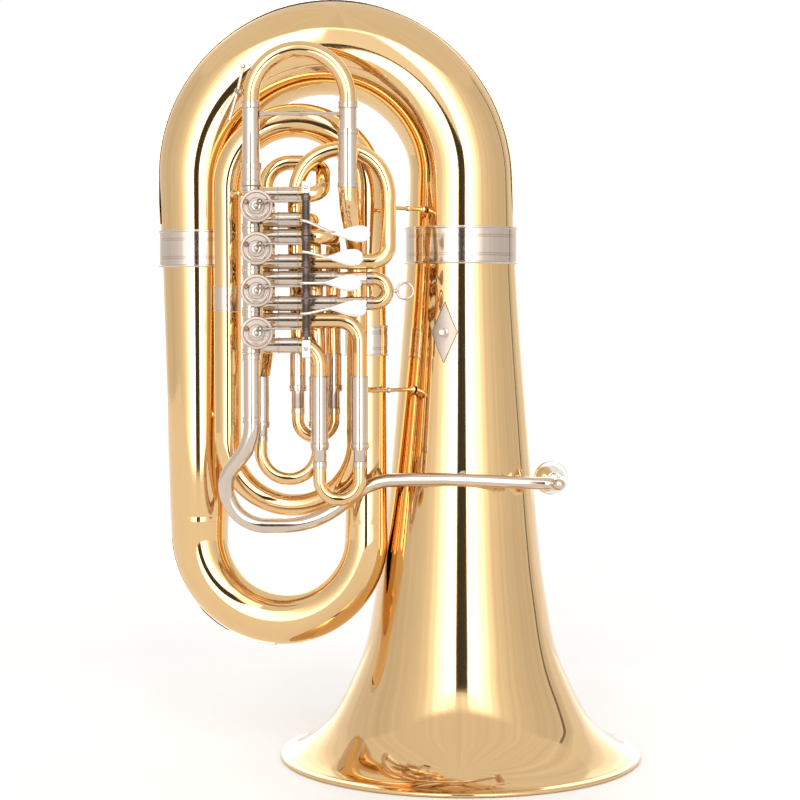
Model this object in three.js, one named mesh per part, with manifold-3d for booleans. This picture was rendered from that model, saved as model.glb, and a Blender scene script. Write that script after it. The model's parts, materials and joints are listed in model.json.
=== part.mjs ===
// Tuba with four rotary valves, standing on its bell. Millimetres, +Z up, the valves face -Y.
// While it is built, the bell axis is the line x = 0, y = 0 and the bell rim is z = 0.
import * as THREE from "three";
import { mergeVertices } from "three/addons/utils/BufferGeometryUtils.js";
import Module from "manifold-3d";

const wasm = await Module();
wasm.setup();

// ---- driving dimensions ----
const RIM_RADIUS = 225;
const BELL_TOP = 638;
const TOP_BOW_RADIUS = 163.3;
const TOP_BOW_Z = 720;
const LEFT_X = -2 * TOP_BOW_RADIUS;
const FIRST_BOTTOM_Z = 280;
const SECOND_X = -117.3;
const SECOND_Y = -45;
const SECOND_TOP_Z = 704.5;
const THIRD_X = -285.4;
const THIRD_Y = -58;
const SECOND_BOTTOM_Z = 400.4;
const FOURTH_X = -127.4;
const FOURTH_Y = -87;
const VALVE_Y = -116;
const VALVE_X = -244;
const VALVE_Z = 531.5;
const VALVE_PITCH = 49.5;
const CASING_RADIUS = 18;
const CASING_FRONT = -139;
const CASING_BACK = -92;
const COLUMN_X = -252.3;
const MAIN_X = -137.5;
const PORT_RISE = 14.7;
const PORT_END_X = -221;
const PLANE_B = -92;
const PLANE_C = -68;
const ROD_X = -184;
const ROD_Y = -182;
const LINK_Y = -156;
const PIN_REACH = 7;
const WALL = 1;
const GAP = 0.3;
const LARGE = 16;
const MEDIUM = 12;
const SMALL = 8;

// ---- materials ----
const BRASS = new THREE.MeshStandardMaterial({ color: 0xdeb484, roughness: 0.1, metalness: 1 });
const NICKEL = new THREE.MeshStandardMaterial({ color: 0xd2ccc6, roughness: 0.15, metalness: 1 });

const root = new THREE.Group();

function add(name, geometry, material) {
  const mesh = new THREE.Mesh(geometry, material);
  mesh.name = name;
  root.add(mesh);
  return mesh;
}

// ---- paths ----
const vec = (x, y, z) => new THREE.Vector3(x, y, z);
const blend = (t) => t * t * (3 - 2 * t);

// A line through corners [x, y, z, bend radius], with a round arc at every inner corner.
function route(corners, stepDegrees = 30) {
  const points = [];
  const at = corners.map(([x, y, z]) => vec(x, y, z));
  at.forEach((corner, i) => {
    const radius = corners[i][3];
    if (!radius) {
      points.push(corner);
      return;
    }
    const into = corner.clone().sub(at[i - 1]).normalize();
    const out = at[i + 1].clone().sub(corner).normalize();
    const turn = into.angleTo(out);
    const reach = radius * Math.tan(turn / 2);
    const start = corner.clone().addScaledVector(into, -reach);
    const side = out.clone().addScaledVector(into, -out.dot(into)).normalize();
    const steps = Math.max(2, Math.ceil(turn / THREE.MathUtils.degToRad(stepDegrees)));
    for (let k = 0; k <= steps; k += 1) {
      const angle = (turn * k) / steps;
      const point = start.clone().addScaledVector(into, radius * Math.sin(angle));
      point.addScaledVector(side, radius * (1 - Math.cos(angle)));
      if (!points.length || points.at(-1).distanceTo(point) > 0.5) points.push(point);
    }
  });
  return points;
}

// A half circle from x0 to x1 whose ends stand at height z, over (up = 1) or under (up = -1) it.
// Its depth goes from y0 to y1 between the fractions first and last of the way round.
function bow(x0, x1, z, y0, y1, up, lead, first = 0, last = 1, steps = 8) {
  const radius = Math.abs(x1 - x0) / 2;
  const points = [vec(x0, y0, z - up * lead)];
  for (let k = 0; k <= steps; k += 1) {
    const way = k / steps;
    const depth = blend(THREE.MathUtils.clamp((way - first) / (last - first), 0, 1));
    const x = (x0 + x1) / 2 - ((x1 - x0) / 2) * Math.cos(Math.PI * way);
    const y = y0 + (y1 - y0) * depth;
    points.push(vec(x, y, z + up * radius * Math.sin(Math.PI * way)));
  }
  points.push(vec(x1, y1, z - up * lead));
  return points;
}

// Radius at each point of a path, from values spread evenly along its length.
function spread(points, values) {
  const lengths = [0];
  points.slice(1).forEach((p, i) => lengths.push(lengths[i] + p.distanceTo(points[i])));
  const total = lengths.at(-1);
  return lengths.map((length) => {
    const place = (length / total) * (values.length - 1);
    const k = Math.min(Math.floor(place), values.length - 2);
    return values.length === 1 ? values[0] : THREE.MathUtils.lerp(values[k], values[k + 1], place - k);
  });
}

// A polygon with this many sides and this vertex radius has the area of a circle of radius 1.
function cornerScale(sides) {
  const angle = (2 * Math.PI) / sides;
  return Math.sqrt(angle / Math.sin(angle));
}

// One frame at each point, turned along the path without twist.
function framesAlong(points) {
  const frames = [];
  let normal = null;
  points.forEach((point, i) => {
    const before = points[Math.max(i - 1, 0)];
    const after = points[Math.min(i + 1, points.length - 1)];
    const into = point.clone().sub(before).normalize();
    const out = after.clone().sub(point).normalize();
    const tangent = into.add(out).normalize();
    if (!normal) normal = Math.abs(tangent.y) > 0.9 ? vec(1, 0, 0) : vec(0, 1, 0);
    normal = normal.clone().addScaledVector(tangent, -normal.dot(tangent)).normalize();
    frames.push({ point, normal, binormal: tangent.clone().cross(normal) });
  });
  return frames;
}

function ringPoint({ point, normal, binormal }, radius, angle) {
  return point
    .clone()
    .addScaledVector(normal, radius * Math.cos(angle))
    .addScaledVector(binormal, radius * Math.sin(angle));
}

function fromLists(vertices, triangles) {
  const geometry = new THREE.BufferGeometry();
  geometry.setAttribute("position", new THREE.Float32BufferAttribute(vertices.flatMap((v) => v.toArray()), 3));
  geometry.setIndex(triangles);
  return geometry;
}

// An open-ended tube along a path. Radii are those of the outside, and walls may differ along it.
function tube(points, radii, sides, wall = WALL) {
  const outer = spread(points, [].concat(radii));
  const walls = spread(points, [].concat(wall));
  return tubeFrom(points, outer, walls, sides);
}

function tubeFrom(points, outer, walls, sides) {
  const scale = cornerScale(sides);
  const vertices = [];
  framesAlong(points).forEach((frame, i) => {
    [outer[i], outer[i] - walls[i]].forEach((radius) => {
      for (let k = 0; k < sides; k += 1) {
        vertices.push(ringPoint(frame, radius * scale, (2 * Math.PI * k) / sides));
      }
    });
  });
  const triangles = [];
  const quad = (a, b, c, d) => triangles.push(a, b, c, a, c, d);
  const at = (ring, inner, k) => ring * 2 * sides + inner * sides + (k % sides);
  for (let k = 0; k < sides; k += 1) {
    for (let i = 0; i + 1 < points.length; i += 1) {
      quad(at(i, 0, k), at(i, 0, k + 1), at(i + 1, 0, k + 1), at(i + 1, 0, k));
      quad(at(i, 1, k + 1), at(i, 1, k), at(i + 1, 1, k), at(i + 1, 1, k + 1));
    }
    const end = points.length - 1;
    quad(at(0, 0, k), at(0, 1, k), at(0, 1, k + 1), at(0, 0, k + 1));
    quad(at(end, 0, k + 1), at(end, 1, k + 1), at(end, 1, k), at(end, 0, k));
  }
  return fromLists(vertices, triangles);
}

// A strip that lies over part of a tube, from side number first to side number last.
function strip(points, outer, sides, first, last, gap, thickness) {
  const scale = cornerScale(sides);
  const count = last - first + 1;
  const vertices = [];
  framesAlong(points).forEach((frame, i) => {
    [gap + thickness, gap].forEach((lift) => {
      for (let k = 0; k < count; k += 1) {
        const angle = (2 * Math.PI * (first + k)) / sides;
        vertices.push(ringPoint(frame, outer[i] * scale + lift, angle));
      }
    });
  });
  const triangles = [];
  const quad = (a, b, c, d) => triangles.push(a, b, c, a, c, d);
  const at = (ring, inner, k) => ring * 2 * count + inner * count + k;
  const end = points.length - 1;
  for (let i = 0; i < end; i += 1) {
    for (let k = 0; k + 1 < count; k += 1) {
      quad(at(i, 0, k), at(i, 0, k + 1), at(i + 1, 0, k + 1), at(i + 1, 0, k));
      quad(at(i, 1, k + 1), at(i, 1, k), at(i + 1, 1, k), at(i + 1, 1, k + 1));
    }
    quad(at(i, 0, 0), at(i + 1, 0, 0), at(i + 1, 1, 0), at(i, 1, 0));
    const edge = count - 1;
    quad(at(i, 0, edge), at(i, 1, edge), at(i + 1, 1, edge), at(i + 1, 0, edge));
  }
  for (let k = 0; k + 1 < count; k += 1) {
    quad(at(0, 0, k), at(0, 1, k), at(0, 1, k + 1), at(0, 0, k + 1));
    quad(at(end, 0, k + 1), at(end, 1, k + 1), at(end, 1, k), at(end, 0, k));
  }
  return fromLists(vertices, triangles);
}

// ---- solids made by joining and cutting ----
function solid(geometry) {
  const plain = geometry.clone();
  plain.deleteAttribute("normal");
  plain.deleteAttribute("uv");
  const merged = mergeVertices(plain, 1e-4);
  const mesh = new wasm.Mesh({
    numProp: 3,
    vertProperties: merged.attributes.position.array,
    triVerts: new Uint32Array(merged.index.array),
  });
  return new wasm.Manifold(mesh);
}

function geometryOf(manifold) {
  const mesh = manifold.getMesh();
  const geometry = new THREE.BufferGeometry();
  geometry.setAttribute("position", new THREE.BufferAttribute(mesh.vertProperties, 3));
  geometry.setIndex(new THREE.BufferAttribute(mesh.triVerts, 1));
  return geometry;
}

function joined(pieces) {
  return pieces.slice(1).reduce((all, piece) => all.add(piece), pieces[0]);
}

function rodBetween(from, to, radius, sides = SMALL) {
  const length = from.distanceTo(to);
  const geometry = new THREE.CylinderGeometry(radius, radius, length, sides);
  const turn = new THREE.Quaternion().setFromUnitVectors(vec(0, 1, 0), to.clone().sub(from).normalize());
  geometry.applyQuaternion(turn);
  geometry.translate(...from.clone().add(to).multiplyScalar(0.5).toArray());
  return solid(geometry);
}

function block(low, high) {
  const size = high.clone().sub(low);
  const geometry = new THREE.BoxGeometry(size.x, size.y, size.z);
  geometry.translate(...low.clone().add(high).multiplyScalar(0.5).toArray());
  return solid(geometry);
}

// A stay between two tubes: a rod with a thicker foot at each end.
function stay(name, from, to, radius, material) {
  const along = to.clone().sub(from).normalize();
  const foot = 3;
  const feet = [
    rodBetween(from, from.clone().addScaledVector(along, foot), 2 * radius),
    rodBetween(to.clone().addScaledVector(along, -foot), to, 2 * radius),
  ];
  add(name, geometryOf(joined([rodBetween(from, to, radius), ...feet])), material);
}

// ---- bell ----
const BELL_PROFILE = [
  [BELL_TOP, 68.3], [564, 72.6], [446, 82], [354, 90], [246, 100.6], [196, 108],
  [139, 119], [91, 138.6], [50, 160.6], [29, 180], [12, 203], [3.4, 222.5], [3, RIM_RADIUS], [0, RIM_RADIUS],
];

function bell() {
  const rimWall = 6;
  const points = BELL_PROFILE.map(([z]) => vec(0, 0, z));
  const outer = BELL_PROFILE.map(([, radius]) => radius / cornerScale(LARGE));
  const walls = BELL_PROFILE.map(([z]) => WALL + (rimWall - WALL) * Math.exp(-z / 30));
  add("bell", tubeFrom(points, outer, walls, LARGE), BRASS);
}

function sleeve(name, x, y, z0, z1, inner, thickness, sides, material) {
  const radius = inner + thickness;
  add(name, tube([vec(x, y, z0), vec(x, y, z1)], radius, sides, thickness), material);
}

// ---- large bows and branches ----
const TOP_BOW_RADII = [68, 58.7, 47];
const BOTTOM_BOW_RADII = [36, 31.6, 25.5];

function bodyTubes() {
  const ferruleLift = 0.8;
  const ferruleWall = 1.2;
  const leftJoint = 634;
  const topBow = bow(0, LEFT_X, TOP_BOW_Z, 0, 0, 1, TOP_BOW_Z - BELL_TOP - GAP, 0, 1, 12);
  const topRadii = spread(topBow, TOP_BOW_RADII);
  add("top_bow", tube(topBow, TOP_BOW_RADII, LARGE), BRASS);
  sleeve("bell_ferrule", 0, 0, 615, 661, 70.2, ferruleWall, LARGE, NICKEL);
  sleeve("top_bow_ferrule", LEFT_X, 0, 611, 657, 47 + ferruleLift + 0.6, ferruleWall, LARGE, NICKEL);
  // The guard strips are centred on the outer side, three quarters of a turn on from the first corner.
  const outside = (3 * LARGE) / 4;
  const guarded = bow(0, LEFT_X, TOP_BOW_Z, 0, 0, 1, 55, 0, 1, 12);
  // Its left end stops above the ferrule, where the tube is a little wider than at its own end.
  topRadii[topRadii.length - 1] += 1;
  add("top_bow_guard", strip(guarded, topRadii, LARGE, outside - 1, outside + 1, 0.6, 1), NICKEL);

  const branch = [vec(LEFT_X, 0, leftJoint), vec(LEFT_X, 0, FIRST_BOTTOM_Z + 20 + GAP)];
  add("left_branch", tube(branch, [46, 36.4], LARGE), BRASS);
  const lowBow = bow(LEFT_X, SECOND_X, FIRST_BOTTOM_Z, 0, SECOND_Y, -1, 20);
  add("first_bottom_bow", tube(lowBow, BOTTOM_BOW_RADII, MEDIUM), BRASS);
  const lowGuard = lowBow.slice(1, 6);
  const lowRadii = spread(lowBow, BOTTOM_BOW_RADII).slice(1, 6);
  const lowOutside = (3 * MEDIUM) / 4;
  const lowStrip = strip(lowGuard, lowRadii, MEDIUM, lowOutside - 1, lowOutside + 1, 0.6, 1);
  add("bottom_bow_guard", lowStrip, NICKEL);

  const second = [vec(SECOND_X, SECOND_Y, 300 + GAP), vec(SECOND_X, SECOND_Y, 690)];
  add("second_branch", tube(second, [25.5, 24.4], MEDIUM), BRASS);
  sleeve("second_branch_ferrule", SECOND_X, SECOND_Y, 503, 540, 25.9, 1, MEDIUM, NICKEL);
  const secondTop = bow(SECOND_X, THIRD_X, SECOND_TOP_Z, SECOND_Y, THIRD_Y, 1, 14);
  add("second_top_bow", tube(secondTop, [24.4, 20.8, 17.5], MEDIUM), BRASS);
  const third = [vec(THIRD_X, THIRD_Y, 690), vec(THIRD_X, THIRD_Y, 412)];
  add("third_branch", tube(third, [17.5, 16.5], MEDIUM), BRASS);
  const lower = bow(THIRD_X, FOURTH_X, SECOND_BOTTOM_Z, THIRD_Y, FOURTH_Y, -1, 11.3, 0.35, 1);
  add("second_bottom_bow", tube(lower, [16.5, 13.8, 12.8], MEDIUM), BRASS);
  const fourth = route([
    [FOURTH_X, FOURTH_Y, 412.2],
    [FOURTH_X, FOURTH_Y, 632, 60],
    [MAIN_X, VALVE_Y, 684, 60],
    [MAIN_X, VALVE_Y, 702],
  ]);
  add("fourth_branch", tube(fourth, [12.8, 11.6], SMALL), BRASS);
}

// ---- main tuning slide ----
function mainSlide() {
  const legRadius = 10.1;
  const sleeveWall = 0.9;
  const crookZ = 808.6;
  const right = [vec(MAIN_X, VALVE_Y, 702 + GAP), vec(MAIN_X, VALVE_Y, 772.5)];
  add("main_sleeve_right", tube(right, legRadius + 0.6 + sleeveWall, SMALL, sleeveWall), NICKEL);
  const left = [vec(COLUMN_X, VALVE_Y, 705), vec(COLUMN_X, VALVE_Y, 732)];
  add("main_sleeve_left", tube(left, legRadius + 0.6 + sleeveWall, SMALL, sleeveWall), NICKEL);
  const crook = bow(COLUMN_X, MAIN_X, crookZ, VALVE_Y, VALVE_Y, 1, crookZ - 707);
  add("main_tuning_slide", tube(crook, legRadius, SMALL), BRASS);
  const clear = legRadius * cornerScale(SMALL) + GAP;
  const strut = (x) => vec(x, VALVE_Y, 790);
  stay("main_slide_stay", strut(COLUMN_X + clear), strut(MAIN_X - clear), 2.4, NICKEL);
}

// Water key on the left shoulder of the main crook: a lever on a saddle, with its cork over the nipple.
function waterKey() {
  const place = (x, z, y = VALVE_Y) => vec(x, y, z);
  const key = joined([
    rodBetween(place(-262, 850), place(-257, 844), 3.4),
    rodBetween(place(-262, 847), place(-268, 816), 2),
    rodBetween(place(-268, 816), place(-278, 781), 2.2),
    rodBetween(place(-268, 816, VALVE_Y - 5), place(-268, 816, VALVE_Y + 5), 3.2),
  ]);
  add("water_key", geometryOf(key), NICKEL);
}

// ---- valves ----
function casing(z) {
  const bore = 16.2;
  const back = 3;
  const front = vec(VALVE_X, CASING_FRONT, z);
  const rear = vec(VALVE_X, CASING_BACK, z);
  const half = VALVE_PITCH / 2 - GAP / 2;
  const columnEnds = [vec(COLUMN_X, VALVE_Y, z - half), vec(COLUMN_X, VALVE_Y, z + half)];
  const ports = [PORT_RISE, -PORT_RISE].map((rise) => z + rise);
  let body = rodBetween(front, rear, CASING_RADIUS, LARGE);
  body = body.add(rodBetween(columnEnds[0], columnEnds[1], 10.2, SMALL));
  const inside = vec(VALVE_X, VALVE_Y, 0);
  ports.forEach((height) => {
    const start = inside.clone().setZ(height);
    body = body.add(rodBetween(start, vec(PORT_END_X, VALVE_Y, height), 9.2, SMALL));
    const beyond = vec(PORT_END_X + 1, VALVE_Y, height);
    body = body.subtract(rodBetween(start, beyond, 8, SMALL));
  });
  const below = columnEnds[0].clone().setZ(z - half - 1);
  const above = columnEnds[1].clone().setZ(z + half + 1);
  body = body.subtract(rodBetween(below, above, 9, SMALL));
  const mouth = front.clone().setY(CASING_FRONT - 1);
  return body.subtract(rodBetween(mouth, rear.clone().setY(CASING_BACK - back), bore, LARGE));
}

// Rotor with its two passages, spindle, stop arm and pin. The pin stands 45 degrees right of straight up.
function rotor(z) {
  const reach = PIN_REACH * Math.SQRT1_2;
  const passage = COLUMN_X - VALVE_X;
  const place = (y) => vec(VALVE_X, y, z);
  const pin = (y) => vec(VALVE_X + reach, y, z + reach);
  let core = rodBetween(place(-138), place(-96), 15.4, LARGE);
  [passage, -passage].forEach((side) => {
    const x = VALVE_X + side * 1.25;
    core = core.subtract(rodBetween(vec(x, VALVE_Y, z - 20), vec(x, VALVE_Y, z + 20), 8, SMALL));
  });
  return joined([
    core,
    rodBetween(place(-151), place(-137), 3.4, SMALL),
    rodBetween(place(-149), place(-146), 6.2, SMALL),
    rodBetween(pin(-153.5), pin(-146), 2.4, SMALL),
  ]);
}

function valves() {
  for (let number = 1; number <= 4; number += 1) {
    const z = VALVE_Z + (number - 1) * VALVE_PITCH;
    add("valve_casing_" + number, geometryOf(casing(z)), BRASS);
    add("rotor_" + number, geometryOf(rotor(z)), BRASS);
    const cap = [vec(VALVE_X, CASING_FRONT - GAP, z), vec(VALVE_X, -145, z)];
    add("valve_cap_" + number, tube(cap, 19.5, LARGE, 15), NICKEL);
  }
}

// ---- valve action ----
// Height of each lever's hub at its ends, of its arm, and the finger plate's place.
const LEVERS = [
  { low: 527, high: 571.2, arm: 553.5, plateX: -162, plateZ: 560 },
  { low: 572, high: 606.7, arm: 589, plateX: -168, plateZ: 589.3 },
  { low: 607.5, high: 643.2, arm: 625, plateX: -165.8, plateZ: 618.3 },
  { low: 644, high: 690, arm: 661, plateX: -157.7, plateZ: 645.5 },
];
const PLATE_LENGTH = 48;
const PLATE_HALF = 11;

// Teardrop finger plate, its point to the left.
function fingerPlate(x, z) {
  const shape = new THREE.Shape();
  shape.moveTo(0, -1.6);
  shape.quadraticCurveTo(PLATE_LENGTH * 0.5, -PLATE_HALF, PLATE_LENGTH - PLATE_HALF, -PLATE_HALF);
  shape.absarc(PLATE_LENGTH - PLATE_HALF, 0, PLATE_HALF, -Math.PI / 2, Math.PI / 2, false);
  shape.quadraticCurveTo(PLATE_LENGTH * 0.5, PLATE_HALF, 0, 1.6);
  const settings = { depth: 2.2, bevelEnabled: false, curveSegments: 5 };
  const geometry = new THREE.ExtrudeGeometry(shape, settings);
  geometry.rotateX(Math.PI / 2);
  geometry.translate(x, ROD_Y - 8, z);
  return solid(geometry);
}

function leverHub(low, high) {
  const ends = [vec(ROD_X, ROD_Y, low), vec(ROD_X, ROD_Y, high)];
  return solid(tube(ends, 5.3, MEDIUM, 2.4));
}

function valveAction() {
  LEVERS.forEach(({ low, high, arm, plateX, plateZ }, i) => {
    const number = i + 1;
    const linkZ = VALVE_Z + i * VALVE_PITCH + PIN_REACH * Math.SQRT1_2;
    const armFrom = vec(ROD_X, ROD_Y - 6, arm);
    const armTo = vec(plateX + 6, ROD_Y - 9, plateZ);
    const tailLow = vec(ROD_X - 2, ROD_Y + 4, linkZ - 6.2);
    const tailHigh = vec(ROD_X + 2, LINK_Y + 3, linkZ - 3.2);
    const lever = joined([
      leverHub(low, high),
      rodBetween(armFrom, armTo, 2.2),
      rodBetween(armFrom.clone().setX(ROD_X - 7), armFrom, 2.2),
      fingerPlate(plateX, plateZ),
      block(tailLow, tailHigh),
    ]);
    add("finger_lever_" + number, geometryOf(lever), NICKEL);
    const pinX = VALVE_X + PIN_REACH * Math.SQRT1_2;
    const link = joined([
      rodBetween(vec(pinX, LINK_Y, linkZ), vec(ROD_X, LINK_Y, linkZ), 1.3),
      rodBetween(vec(pinX, LINK_Y - 2, linkZ), vec(pinX, LINK_Y + 2, linkZ), 3.4),
      rodBetween(vec(ROD_X, LINK_Y, linkZ - 2.8), vec(ROD_X, LINK_Y, linkZ + 2.8), 3.2),
    ]);
    add("link_rod_" + number, geometryOf(link), NICKEL);
  });
  const bracket = (low, high) =>
    block(vec(ROD_X - 5, ROD_Y - 5, low), vec(ROD_X + 5, ROD_Y + 5, high)).add(
      block(vec(ROD_X - 3, ROD_Y, low + 2), vec(ROD_X + 3, VALVE_Y - 10.2, high - 2)),
    );
  const rod = rodBetween(vec(ROD_X, ROD_Y, 505), vec(ROD_X, ROD_Y, 700), 2.2);
  add("lever_rack", geometryOf(joined([rod, bracket(503, 524), bracket(692, 706)])), NICKEL);
}

// ---- valve slides ----
function slideParts(name, tubes, crook, radius) {
  ["inner", "outer"].forEach((which, i) => {
    add(name + "_tube_" + which, tube(tubes[i], radius + 1.5, SMALL, 0.8), BRASS);
  });
  add(name, tube(crook, radius, SMALL, 0.9), BRASS);
}

function valveSlides() {
  const upper = (number) => VALVE_Z + (number - 1) * VALVE_PITCH + PORT_RISE;
  const lower = (number) => VALVE_Z + (number - 1) * VALVE_PITCH - PORT_RISE;
  const startX = PORT_END_X + GAP;
  const r = 7.8;

  const firstInner = route([
    [startX, VALVE_Y, lower(1)], [-171.4, VALVE_Y, lower(1), 24], [-171.4, VALVE_Y, 392],
  ]);
  const firstOuter = route([
    [startX, VALVE_Y, upper(1)], [-123.8, VALVE_Y, upper(1), 26], [-123.8, VALVE_Y, 392],
  ]);
  const firstCrook = bow(-171.4, -123.8, 356.3, VALVE_Y, VALVE_Y, -1, 99, 0, 1, 6);
  slideParts("first_slide", [firstInner, firstOuter], firstCrook, r);

  const secondEnd = -150;
  const secondUpper = [vec(startX, VALVE_Y, upper(2)), vec(secondEnd, VALVE_Y, upper(2))];
  const secondLower = [vec(startX, VALVE_Y, lower(2)), vec(secondEnd, VALVE_Y, lower(2))];
  const secondCrook = route([
    [-212, VALVE_Y, upper(2)],
    [-91, VALVE_Y, upper(2), PORT_RISE - 0.02],
    [-91, VALVE_Y, lower(2), PORT_RISE - 0.02],
    [-212, VALVE_Y, lower(2)],
  ]);
  slideParts("second_slide", [secondLower, secondUpper], secondCrook, r);
  const middle = (upper(2) + lower(2)) / 2;
  const ring = new THREE.TorusGeometry(9.6, 1.5, 6, 20);
  ring.rotateX(Math.PI / 2);
  ring.translate(-69.5, VALVE_Y, middle);
  const stem = rodBetween(vec(-82.2, VALVE_Y, middle), vec(-78.2, VALVE_Y, middle), 2.6);
  add("second_slide_ring", geometryOf(solid(ring).add(stem)), NICKEL);

  const thirdFar = route([
    [startX, VALVE_Y, lower(3)], [-90, VALVE_Y, lower(3), 20], [-90, PLANE_B, 690, 40],
    [-90, PLANE_B, 751, 55], [-201, PLANE_B, 751, 55], [-201, PLANE_B, 620, 40],
    [-199.5, PLANE_C, 560, 40], [-199.5, PLANE_C, 460],
  ]);
  const thirdNear = route([
    [startX, VALVE_Y, upper(3)], [-157, VALVE_Y, upper(3), 20], [-157, PLANE_C, upper(3), 20],
    [-157, PLANE_C, 460],
  ]);
  const thirdCrook = bow(-199.5, -157, 426, PLANE_C, PLANE_C, -1, 90, 0, 1, 6);
  slideParts("third_slide", [thirdNear, thirdFar], thirdCrook, r);

  const fourthFar = route([
    [startX, VALVE_Y, upper(4)], [-168, VALVE_Y, upper(4), 17], [-168, PLANE_C, 736.5, 25],
    [-238, PLANE_C, 736.5, 30], [-238, PLANE_C, 505, 30], [-243, PLANE_B, 465, 30],
    [-243, PLANE_B, 417],
  ]);
  const fourthNear = route([
    [startX, VALVE_Y, lower(4)], [-181, VALVE_Y, lower(4), 14], [-181, -88, lower(4), 13.5],
    [-174.6, PLANE_B, 520, 60], [-174.6, PLANE_B, 417],
  ]);
  const fourthCrook = bow(-243, -174.6, 389.7, PLANE_B, PLANE_B, -1, 55, 0, 1, 6);
  slideParts("fourth_slide", [fourthNear, fourthFar], fourthCrook, r);
}

// ---- leadpipe and mouthpiece ----
const MOUTH_X = 110;
const MOUTH_Z = 353;
const PIPE_END_Y = -137;
const RECEIVER_Y = -121;
const RECEIVER_END_Y = -97;

function leadpipe() {
  const pipe = route([
    [COLUMN_X, VALVE_Y, VALVE_Z - VALVE_PITCH / 2 - GAP],
    [COLUMN_X, VALVE_Y, 400, 60],
    [-290, -102, 352, 38],
    [-268, -95, 299, 48],
    [-180, -95, 299, 110],
    [-108, -97, 353, 68],
    [-60, -108, 356, 60],
    [MOUTH_X, PIPE_END_Y, MOUTH_Z, 15],
    [MOUTH_X, RECEIVER_Y, MOUTH_Z],
    [MOUTH_X, RECEIVER_Y + 1, MOUTH_Z],
    [MOUTH_X, RECEIVER_END_Y, MOUTH_Z],
  ], 22.5);
  const radii = spread(pipe, [9.6, 9.6, 8.9, 8.2, 7.6, 7]);
  const walls = radii.map(() => WALL);
  // The last two rings are the receiver, which is thicker outside and wider inside.
  [1, 2].forEach((fromEnd) => {
    radii[radii.length - fromEnd] = 9.4;
    walls[walls.length - fromEnd] = 2;
  });
  add("leadpipe", tubeFrom(pipe, radii, walls, SMALL), NICKEL);
}

// Mouthpiece rings: distance along +Y, outer radius and wall. Its shank is in the receiver, its rim at the far end.
const MOUTHPIECE_PROFILE = [
  [-112, 6.2, 1.6], [-97, 6.6, 1.8], [-86, 6.4, 2.6], [-80, 9, 4], [-70, 15, 8], [-60, 18.5, 6],
  [-50, 19.5, 4.4], [-45, 21, 5], [-42, 20.6, 4],
];

function mouthpiece() {
  const points = MOUTHPIECE_PROFILE.map(([y]) => vec(MOUTH_X, y, MOUTH_Z));
  const radii = MOUTHPIECE_PROFILE.map(([, radius]) => radius);
  const walls = MOUTHPIECE_PROFILE.map(([, , wall]) => wall);
  add("mouthpiece", tubeFrom(points, radii, walls, MEDIUM), NICKEL);
}

// ---- braces and guard plate ----
function braces() {
  const bellAxis = (z) => vec(0, 0, z);
  // From the surface of a tube of radius a around one axis to a tube of radius b around the other.
  const between = (name, one, a, other, b) => {
    const along = other.clone().sub(one).normalize();
    const from = one.clone().addScaledVector(along, a + 1);
    const to = other.clone().addScaledVector(along, -b - 1);
    stay(name, from, to, 2.3, BRASS);
  };
  between("bell_stay_upper", vec(-90, -95, 681), 10.4, bellAxis(681), 69.6);
  between("bell_stay_lower", vec(-123.8, VALVE_Y, 462), 10.2, bellAxis(462), 81.5);
  between("branch_stay", vec(LEFT_X, 0, 430), 41.2, vec(THIRD_X, THIRD_Y, 430), 17);
  between("valve_stay", vec(COLUMN_X, VALVE_Y, 698), 10.8, vec(THIRD_X, THIRD_Y, 698), 18.4);
}

function guardPlate() {
  const lift = 76.4;
  const bellSlope = 4.5;
  const shape = new THREE.Shape();
  shape.moveTo(0, 38);
  shape.lineTo(-16.4, 1);
  shape.lineTo(0, -38);
  shape.lineTo(16.4, 1);
  shape.closePath();
  const plate = new THREE.ExtrudeGeometry(shape, { depth: 1.2, bevelEnabled: false });
  plate.rotateX(Math.PI / 2);
  plate.translate(0, -lift - 1.4, 0);
  const post = rodBetween(vec(0, -lift - 15, 0), vec(0, -lift - 2, 0), 3.6);
  const mesh = add("bell_guard_plate", geometryOf(solid(plate).add(post)), NICKEL);
  mesh.rotation.order = "ZYX";
  mesh.rotation.x = THREE.MathUtils.degToRad(-bellSlope);
  mesh.rotation.z = THREE.MathUtils.degToRad(-17);
  mesh.position.z = 525.5;
}

bell();
bodyTubes();
mainSlide();
waterKey();
valves();
valveAction();
valveSlides();
leadpipe();
mouthpiece();
braces();
guardPlate();

// The part's origin is under the middle of its box, on the surface that it stands on.
const bounds = new THREE.Box3().setFromObject(root);
root.position.x = -(bounds.min.x + bounds.max.x) / 2;
root.position.y = -(bounds.min.y + bounds.max.y) / 2;

export default root;
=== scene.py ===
"""Looks for the rotary tuba: smooth tubes, valves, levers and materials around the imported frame."""
import json
import math

import bmesh
import bpy
from mathutils import Matrix, Vector


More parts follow.
